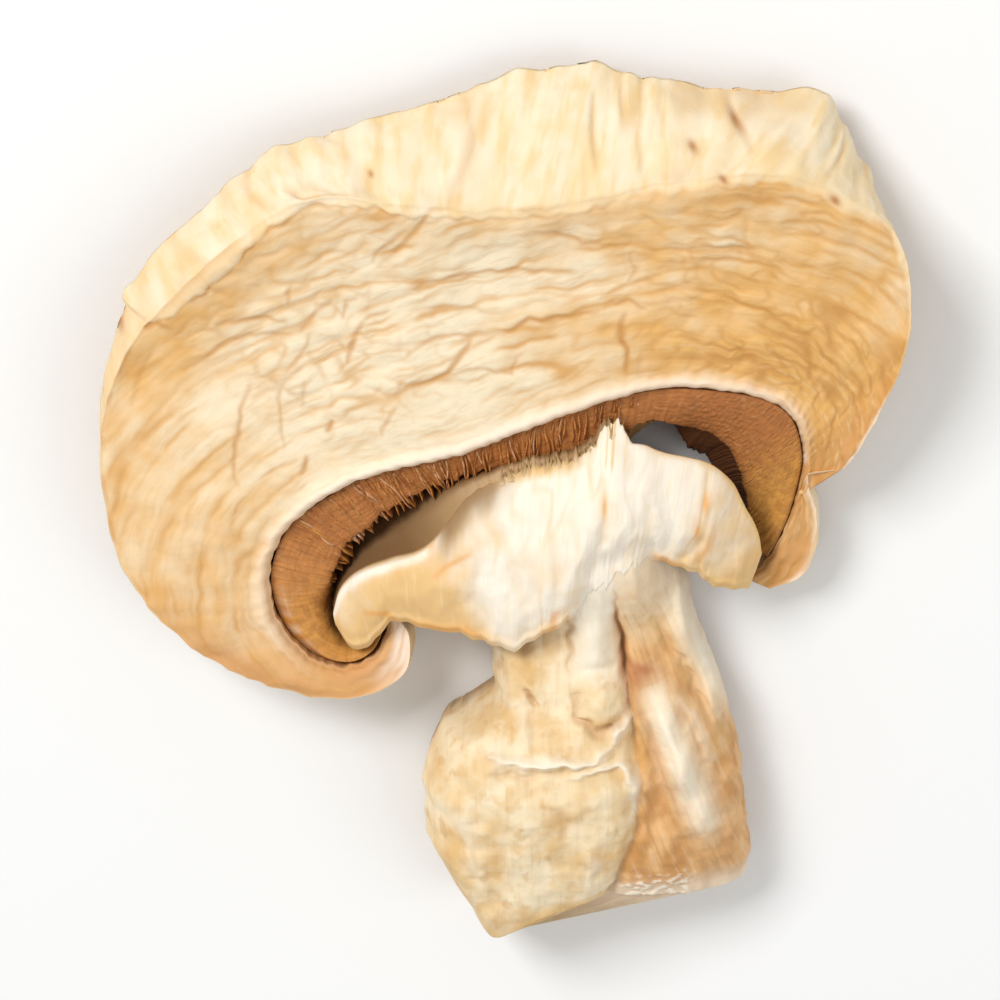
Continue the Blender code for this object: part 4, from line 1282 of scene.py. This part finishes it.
class Stem(Face):
    """The stem at many stations: its two sides, its two lobes and the groove between them."""

    def __init__(self):
        rows = flat_rows(STEM_ROWS)
        knots = knots_of(rows, 0, 2)
        at = np.linspace(0.0, 1.0, STEM_STATIONS)
        read = smooth(rows, knots, at)
        left, right, groove_x, self.lobe_left, self.lobe_right = np.split(read, (2, 4, 5, 6), axis=1)
        self.row = np.interp(at, knots, np.arange(len(rows)))[:, None]
        s = length_along((left + right) / 2)[:, None]
        across_way = unit(right - left)
        left[:, 0] += 1.1 * bell(left[:, 1], -9.0, 1.1)
        left -= across_way * (0.15 * noise(s / 0.9, 1.0, seed=90) + 0.25 * noise(s / 2.4, 2.0, seed=91))
        right[:, 0:1] += 0.35 * ease(self.row, 6.0, 7.4)
        right += across_way * (0.10 * noise(s / 0.8, 3.0, seed=92) + 0.12 * noise(s / 2.8, 4.0, seed=93))
        split = (groove_x - left[:, 0:1]) / (right[:, 0:1] - left[:, 0:1])
        split = split + 0.012 * noise(s / 0.8, 5.0, seed=100) + 0.02 * noise(s / 2.2, 6.0, seed=101)
        self.left, self.right, self.split = left, right, split

        share = np.linspace(0.0, 1.0, STEM_TOP_POINTS)
        self.xy = between(left, right, share)
        end_bow = 0.55 * bell(share, 0.42, 0.16) - 0.9 * bell(share, 0.06, 0.10)
        end_bow = end_bow - 0.6 * ease(share, 0.6, 0.95)
        self.xy[..., 1] += ease(self.row, 7.0, 8.0) * end_bow
        self.x, self.y = self.xy[..., 0], self.xy[..., 1]
        self.wander_x = self.x + 0.3 * self.patches(0.8, 0.8, 1.0, 102)
        self.wander_y = self.y + 0.3 * self.patches(0.8, 0.8, 2.0, 103)
        self.share, self.past_groove = share, share - split
        self.on_left = 1 - ease(self.past_groove, -0.004, 0.012)
        self.open_groove = np.interp(self.row, *OPEN_GROOVE)
        self.bottom = ease(self.row, 7.1, 7.9)
        self.crest = drawn(self.wander_x, self.wander_y, STEM_CRESTS)
        self.dent = drawn(self.wander_x, self.wander_y, STEM_DENTS)
        warts = self.patches(0.38, 0.3, 6.0, 99) + 0.3 * self.patches(0.2, 0.2)
        warts = ease(self.row, 6.9, 7.6) * ease(warts, 0.05, 0.3)
        self.warts = warts * within(self.x, (5.0, 6.4), (8.6, 9.6))

    def height(self):
        """How high the front stands: its two lobes, the groove, lumps, fibres, ridges and dents."""
        x, y, row = self.x, self.y, self.row
        left_side = np.interp(np.clip(self.share / self.split, 0.0, 1.0), *LEFT_SECTION)
        right_side = np.interp(np.clip(self.past_groove / (1 - self.split), 0.0, 1.0), *RIGHT_SECTION)
        z = mix(right_side * self.lobe_right, left_side * self.lobe_left, self.on_left)
        z = z - 0.9 * bell(self.past_groove, 0.008, 0.014) * self.open_groove
        for *place, tall in STEM_LUMPS:
            z = z + tall * spot(x, y, *place)
        body = ease(row, 1.6, 3.4)
        fibre = noise((x + 0.2 * y) / 0.4, y / 2.2, seed=94)
        lump = cloud(x / 2.3, y / 2.3, 2.0, seed=95)
        fine_lump = cloud(x / 0.9, y / 1.1, 4.0, seed=104)
        z = z + body * (0.42 * lump + 0.09 * fine_lump + 0.05 * fibre * (1 - 0.7 * self.on_left))
        z = z + 0.05 * fibre * (1 - body)
        root = ease(y, -6.4, -1.6) * within(x, (1.4, 3.4), (6.0, 8.8))
        z = mix(z, 6.0 + 0.35 * lump + 0.08 * fibre, root)
        z = z + 0.45 * self.crest - 0.5 * self.dent + 0.08 * self.warts
        rim = ease(self.share, 0.0, 0.05) * ease(1 - self.share, 0.0, 0.03)
        return np.clip(z * mix(0.92, 1.0, rim), 0.25, TALLEST)

    def back(self):
        """The cut face that lies down, and its creases."""
        xy = between(self.left, self.right, np.linspace(0.985, 0.015, STEM_BACK_POINTS))
        x, y = xy[..., 0], xy[..., 1]
        deep = np.clip(creases(x / 1.0, y / 3.4, 66, 0.2, -0.1), 0, 1)
        z = 0.2 * deep + 0.16 * (1 + noise(x / 1.4, y / 2.0, 5.0, seed=67))
        return with_height(xy, z * (1 - 0.6 * bell(self.row, 0.0, 0.5))), deep

    def colours(self):
        """How tan, pale, golden and red the front is; some of the gold is painted shade, and some of the pale
        a painted highlight.
        """
        x, y, on_left, right_lobe = self.x, self.y, self.on_left, 1 - self.on_left
        threads = ease(noise((x + 0.38 * y) / 0.32, y / 2.6, 8.0, seed=109), -0.45, 0.25)
        # bright is a painted highlight along the streaks.
        bright = drawn(x, y, STEM_STREAKS) * mix(0.7, 1.0, threads)
        tan = right_lobe * mix(0.35, 1.0, ease(y, -4.0, -6.5)) * (1.0 - 1.1 * bright)
        upper = ease(y, -5.2, -1.6)
        neck = bell(x, 4.3, 1.1) * ease(y, -8.0, -6.4) + upper
        pale = self.crest + 0.75 * self.warts + neck * np.maximum(on_left, 0.5 * upper)
        pale = pale + 0.9 * bright + 0.65 * self.bottom * right_lobe
        blotched = ease(self.patches(0.5, 2.0, 3.0, 106), -0.5, 0.4)
        gold = 0.7 * bell(x, 1.5, 1.3) * ease(y, -8.4, -6.4) * blotched
        gold = gold + 0.6 * self.bottom * on_left * ease(self.row, 7.6, 8.0)
        # Painted shade along the stem's shade lines.
        for width, strength, points in STEM_SHADE_LINES:
            gold = gold + strength * line_mask(x, y, points, width)
        stains = [strong * spot(self.wander_x, self.wander_y, *place) for *place, strong in STEM_STAINS]
        red_spot = spot(self.wander_x, self.wander_y, 6.5, -7.0, 0.7, 0.45)
        red_groove = 0.5 * bell(self.past_groove, 0.006, 0.012) * bell(self.row, 2.4, 0.8)
        return tan, pale, np.maximum.reduce([gold, *stains]), np.maximum(red_spot, red_groove)


def stem_piece():
    """The stem's lengthwise slice, with its front and the face that lies down."""
    stem = Stem()
    back, back_deep = stem.back()
    grid = np.concatenate([with_height(stem.xy, stem.height()), back], axis=1)
    masks, grain = blank(grid, ("deep", "tan", "pale", "red", "gold"), grid[..., 0])
    for name, values in zip(("tan", "pale", "gold", "red"), stem.colours()):
        masks[name][STEM_FRONT] = values
    cracked = stem.open_groove * bell(stem.past_groove, 0.006, 0.010)
    masks["deep"][STEM_FRONT] = 0.8 * stem.dent + 0.8 * cracked
    masks["deep"][STEM_BACK] = back_deep
    masks["tan"][STEM_BACK] = 0.4
    grain[(*STEM_FRONT, 0)] += 0.38 * stem.y * (1 - stem.on_left)
    grain[..., 1] = grid[..., 1]
    return loft("stem_slice", grid, masks, grain)


# ---------------------------------------------------------------- materials

SCATTER_RADIUS = (1.0, 0.6, 0.3)  # red light goes further into the flesh than green or blue
SCATTER_SCALE = 0.0009


class Shader:
    """A Principled material, whose colour and bumps are laid over each other one by one."""

    def __init__(self, name, roughness, specular=0.25, soft=0.12):
        self.material = bpy.data.materials.new(name)
        self.material.use_nodes = True
        self.tree = self.material.node_tree
        self.shader = self.tree.nodes["Principled BSDF"]
        self.shader.inputs["Roughness"].default_value = roughness
        self.shader.inputs["Specular IOR Level"].default_value = specular
        self.shader.inputs["Subsurface Weight"].default_value = soft
        self.shader.inputs["Subsurface Radius"].default_value = SCATTER_RADIUS
        self.shader.inputs["Subsurface Scale"].default_value = SCATTER_SCALE
        self.place = self.tree.nodes.new("ShaderNodeTexCoord").outputs["Object"]
        self.grain = self.mask("grain", "Vector")
        self.colour = self.normal = None

    def join(self, value, socket):
        if isinstance(value, bpy.types.NodeSocket):
            self.tree.links.new(value, socket)
        else:
            socket.default_value = value

    def mask(self, name, output="Fac"):
        node = self.tree.nodes.new("ShaderNodeAttribute")
        node.attribute_name = name
        return node.outputs[output]

    def math(self, operation, a, b=0.0):
        node = self.tree.nodes.new("ShaderNodeMath")
        node.operation = operation
        self.join(a, node.inputs[0])
        self.join(b, node.inputs[1])
        return node.outputs["Value"]

    def noise(self, features, source=None, detail=2.0, offset=0.0):
        """Noise from 0 to 1 whose features are so many millimetres across in each direction."""
        node = self.tree.nodes.new("ShaderNodeMapping")
        node.vector_type = "POINT"
        self.join(self.place if source is None else source, node.inputs["Vector"])
        per = 1 / MM if source is None else 1.0  # places are in metres, and the grain is in millimetres
        node.inputs["Scale"].default_value = [per / value for value in features]
        node.inputs["Location"].default_value = (offset, offset, offset)
        made = self.tree.nodes.new("ShaderNodeTexNoise")
        made.inputs["Scale"].default_value = 1.0
        made.inputs["Detail"].default_value = detail
        self.join(node.outputs["Vector"], made.inputs["Vector"])
        return made.outputs["Fac"]

    def step(self, value, low, high):
        """A smooth step of a value, from 0 at low to 1 at high."""
        node = self.tree.nodes.new("ShaderNodeMapRange")
        node.interpolation_type = "SMOOTHSTEP"
        self.join(value, node.inputs["Value"])
        node.inputs["From Min"].default_value = low
        node.inputs["From Max"].default_value = high
        return node.outputs["Result"]

    def uneven(self, value, blotch, much):
        """A value that is higher or lower from place to place."""
        return self.math("ADD", value, self.math("MULTIPLY", self.math("SUBTRACT", blotch, 0.5), much))

    def blend(self, share, a, b):
        node = self.tree.nodes.new("ShaderNodeMix")
        node.data_type = "RGBA"
        self.join(share, node.inputs["Factor"])
        for value, socket in ((a, node.inputs[6]), (b, node.inputs[7])):
            self.join((*value, 1.0) if isinstance(value, tuple) else value, socket)
        return node.outputs[2]

    def paint(self, colour, *shares):
        """Lays a colour over what is there. How much of it shows is the product of the shares."""
        *others, share = shares
        for other in reversed(others):
            share = self.math("MULTIPLY", other, share)
        self.colour = self.blend(share, self.colour, colour)

    def bump(self, height, depth, strength=0.6):
        """Adds fine relief, so many millimetres deep."""
        node = self.tree.nodes.new("ShaderNodeBump")
        node.inputs["Strength"].default_value = strength
        node.inputs["Distance"].default_value = depth * MM
        self.join(height, node.inputs["Height"])
        if self.normal is not None:
            self.join(self.normal, node.inputs["Normal"])
        self.normal = node.outputs["Normal"]

    def finish(self):
        self.join(self.colour, self.shader.inputs["Base Color"])
        self.join(self.normal, self.shader.inputs["Normal"])
        return self.material


def cap_material():
    """Cut flesh from cream to gold, cream skin, darker creases, painted shade in the face's hollows and on
    the wall under the gills, and a pinkish rim above the gills.
    """
    m = Shader("cap_flesh", 0.62, 0.25, 0.0)
    fibre = m.noise((2.2, 0.30, 1.0), m.grain, 3.0)
    light = m.step(m.noise((2.2, 0.28, 1.0), m.grain, 3.0, 31.0), 0.50, 0.66)
    streak = m.step(m.noise((2.8, 0.34, 1.0), m.grain, 2.0, 20.0), 0.50, 0.72)
    blotch = m.noise((1.6, 1.6, 1.6), None, 3.0, 3.0)
    golden = m.math("POWER", m.math("MINIMUM", m.math("MAXIMUM", m.mask("gold"), 0.0), 1.0), 4.0)
    depth = m.math("ADD", m.math("MULTIPLY", golden, 0.36), m.math("MULTIPLY", m.mask("gold"), 0.15))
    gold = m.step(m.uneven(m.mask("gold"), blotch, 0.7), 0.0, 1.0)
    m.colour = m.blend(gold, (0.89, 0.76, 0.54), (0.77, 0.43, 0.13))
    m.paint((0.88, 0.74, 0.50), m.step(fibre, 0.52, 0.72), 0.12)
    m.paint((0.70, 0.40, 0.15), m.step(fibre, 0.48, 0.30), 0.30)
    m.paint((0.63, 0.31, 0.12), m.mask("margin"), 0.85)
    m.paint((0.93, 0.77, 0.62), m.mask("rim"), 0.9)
    m.paint((0.86, 0.60, 0.30), light, golden, 0.55)
    m.paint((0.60, 0.29, 0.07), streak, depth)
    m.paint((0.66, 0.35, 0.11), m.mask("lines"), 0.8)
    m.paint((0.44, 0.19, 0.04), m.mask("lines"), golden, 0.6)
    # deep is the creases' own colour, and painted shade on the wall under the gills.
    m.paint((0.54, 0.25, 0.06), m.mask("deep"), 0.85)
    flesh = m.colour

    pleat = m.noise((0.55, 3.5, 1.0), m.grain, 3.0, 9.0)
    patch = m.noise((2.6, 2.6, 2.6), None, 2.0, 41.0)
    m.colour = m.blend(m.step(pleat, 0.42, 0.70), (0.84, 0.71, 0.50), (0.79, 0.58, 0.30))
    m.paint((0.80, 0.60, 0.31), m.step(patch, 0.50, 0.66), 0.5)
    m.paint((0.87, 0.78, 0.62), m.step(patch, 0.48, 0.34), 0.4)
    m.paint((0.80, 0.53, 0.25), m.mask("gold"), 0.6)
    m.paint((0.62, 0.36, 0.14), m.mask("deep"), 0.6)
    m.colour = m.blend(m.mask("skin"), flesh, m.colour)
    m.paint((0.45, 0.20, 0.07), m.mask("mark"))
    m.bump(fibre, 0.03)
    m.bump(m.noise((0.28, 0.28, 0.28), None, 3.0, 5.0), 0.04)
    return m.finish()


def gill_material():
    """Reddish brown gills, ochre where they are seen from the side, with painted shade in the cracks and the
    chamber and a painted highlight along the trough.
    """
    m = Shader("gill_tissue", 0.55, 0.3, 0.05)
    streak = m.noise((2.4, 0.22, 1.0), m.grain, 3.0)
    fleck = m.noise((0.3, 0.3, 0.3), None, 2.0, 2.0)
    mottle = m.noise((0.5, 0.5, 0.5), None, 3.0, 9.0)
    m.colour = m.blend(m.mask("tone"), (0.38, 0.130, 0.034), (0.56, 0.225, 0.065))
    m.paint(m.blend(streak, (0.50, 0.205, 0.038), (0.80, 0.40, 0.085)), m.mask("ochre"))
    m.paint((0.28, 0.105, 0.03), m.step(mottle, 0.35, 0.65), 0.35)
    m.paint((0.56, 0.34, 0.15), m.step(fleck, 0.60, 0.78), 0.45)
    # Painted shade.
    m.paint((0.10, 0.034, 0.012), m.mask("dark"), 0.92)
    # Painted highlight along the trough, and the pale specks.
    m.paint((0.72, 0.50, 0.34), m.mask("pale"))
    m.bump(streak, 0.12, 0.7)
    m.bump(fleck, 0.05)
    return m.finish()


def veil_material():
    """White fibres, golden towards the hem and along the arm, with painted shade in dark brown on the inner
    side.
    """
    m = Shader("veil_tissue", 0.68, 0.2, 0.15)
    thread = m.noise((0.22, 2.4, 1.0), m.grain, 3.0)
    blotch = m.noise((1.3, 1.3, 1.3), None, 3.0, 4.0)
    gold = m.step(m.uneven(m.mask("gold"), blotch, 0.8), 0.0, 1.0)
    m.colour = m.blend(gold, (0.89, 0.81, 0.68), (0.76, 0.50, 0.22))
    m.paint((0.84, 0.68, 0.43), m.step(thread, 0.46, 0.30), 0.3)
    m.paint((0.78, 0.50, 0.20), m.mask("deep"), 0.5)
    m.paint((0.76, 0.36, 0.09), m.mask("orange"), 0.8)
    # Painted shade from the shade mask; at the fibres' tips it is their own brown.
    m.paint((0.30, 0.18, 0.08), m.step(m.mask("shade"), 0.0, 0.65))
    m.paint((0.17, 0.08, 0.03), m.step(m.mask("shade"), 0.55, 1.0))
    m.bump(thread, 0.05)
    return m.finish()


def stem_material():
    """Cream flesh on the left lobe, pinkish tan on the right, with fine lengthwise fibres."""
    m = Shader("stem_flesh", 0.65)
    fibre = m.noise((0.3, 2.6, 1.0), m.grain, 3.0)
    blotch = m.noise((1.8, 1.8, 1.8), None, 4.0, 6.0)
    stain = m.step(m.noise((0.9, 1.2, 0.9), None, 3.0, 14.0), 0.52, 0.72)
    speck = m.step(m.noise((1.1, 1.1, 1.1), None, 2.0, 17.0), 0.60, 0.74)
    depth = m.math("ADD", 0.12, m.math("MULTIPLY", m.mask("tan"), 0.35))
    m.colour = m.blend(m.step(blotch, 0.38, 0.66), (0.87, 0.73, 0.50), (0.77, 0.56, 0.30))
    m.paint((0.68, 0.43, 0.17), stain, 0.55)
    m.paint((0.60, 0.34, 0.13), speck, 0.5)
    m.paint(m.blend(m.step(blotch, 0.35, 0.65), (0.75, 0.45, 0.20), (0.57, 0.28, 0.09)), m.mask("tan"))
    # gold: stains, and painted shade in a valley, under the knob and in a hollow.
    m.paint((0.68, 0.40, 0.13), m.mask("gold"), 0.8)
    m.paint((0.50, 0.26, 0.10), m.step(fibre, 0.5, 0.34), depth)
    m.paint((0.84, 0.62, 0.40), m.step(fibre, 0.54, 0.70), m.mask("tan"), 0.28)
    # pale includes a painted highlight along the right lobe's streaks.
    m.paint((0.89, 0.81, 0.66), m.mask("pale"), 0.9)
    m.paint((0.52, 0.28, 0.12), m.mask("deep"), 0.65)
    m.paint((0.42, 0.14, 0.05), m.mask("red"), 0.8)
    m.bump(fibre, 0.05)
    m.bump(m.noise((0.3, 0.3, 0.3), None, 3.0, 8.0), 0.04)
    return m.finish()


def dress(piece, made, node):
    piece.data.materials.append(made)
    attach(piece, BODY)
    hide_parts(node)


cap_made = cap_material()
for part in cap_pieces():
    dress(part, cap_made, "cap")
gills_made = gill_material()
for part in gills_piece():
    dress(part, gills_made, "gills")
veil_made = veil_material()
stem = stem_piece()
dress(stem, stem_material(), "stem")
dress(veil_piece(stem), veil_made, "veil")
dress(veil_tufts(np.random.default_rng(5)), veil_made, "veil")


# ---------------------------------------------------------------- floor, light and camera

FLOOR_SIZE = 3.0
FLOOR_DROP = 0.0002  # the floor lies just under the slice
FLOOR_COLOUR = (0.86, 0.86, 0.85, 1.0)
SKY_LEVEL = 0.55
NEAREST = 0.01  # the camera sees nothing nearer than this, in metres


def floor():
    half = FLOOR_SIZE / 2
    mesh = bpy.data.meshes.new("floor")
    corners = [(-half, -half), (half, -half), (half, half), (-half, half)]
    mesh.from_pydata([(x, y, -FLOOR_DROP) for x, y in corners], [], [(0, 1, 2, 3)])
    made = Shader("floor_paper", 0.9, 0.0, 0.0)
    made.shader.inputs["Base Color"].default_value = FLOOR_COLOUR
    mesh.materials.append(made.material)
    piece = bpy.data.objects.new("floor", mesh)
    bpy.context.scene.collection.objects.link(piece)


def soft_light(name, place, size, energy):
    """A square lamp that looks at the slice."""
    data = bpy.data.lights.new(name, "AREA")
    data.size = size
    data.energy = energy
    lamp = bpy.data.objects.new(name, data)
    lamp.location = place
    lamp.rotation_euler = (-Vector(place)).to_track_quat("-Z", "Y").to_euler()
    bpy.context.scene.collection.objects.link(lamp)


def studio():
    world = bpy.data.worlds.new("studio")
    world.use_nodes = True
    sky = world.node_tree.nodes["Background"]
    sky.inputs["Color"].default_value = (1.0, 1.0, 1.0, 1.0)
    sky.inputs["Strength"].default_value = SKY_LEVEL
    bpy.context.scene.world = world
    bpy.context.scene.view_settings.view_transform = "Standard"
    soft_light("key", (-0.26, 0.30, 0.38), 0.20, 2.1)
    soft_light("fill", (0.40, -0.10, 0.45), 0.35, 0.7)


def camera():
    """Looks down on the slice from the crown's side of the vertical, with the crown at the top."""
    away = Vector((0.0, math.sin(VIEW_TILT), math.cos(VIEW_TILT)))
    up = Vector((0.0, math.cos(VIEW_TILT), -math.sin(VIEW_TILT)))
    aim_x, aim_up = AIM[0] - MIDDLE[0], AIM[1] - MIDDLE[1] * math.cos(VIEW_TILT)
    aim = Vector((aim_x, 0.0, 0.0)) + up * aim_up
    data = bpy.data.cameras.new("camera")
    data.lens = LENS
    data.sensor_width = SENSOR
    data.clip_start = NEAREST
    made = bpy.data.objects.new("camera", data)
    made.location = (aim + away * (FRAME_WIDTH * LENS / SENSOR)) * MM
    made.rotation_euler = (-VIEW_TILT, 0.0, 0.0)
    bpy.context.scene.collection.objects.link(made)
    bpy.context.scene.camera = made


floor()
studio()
camera()
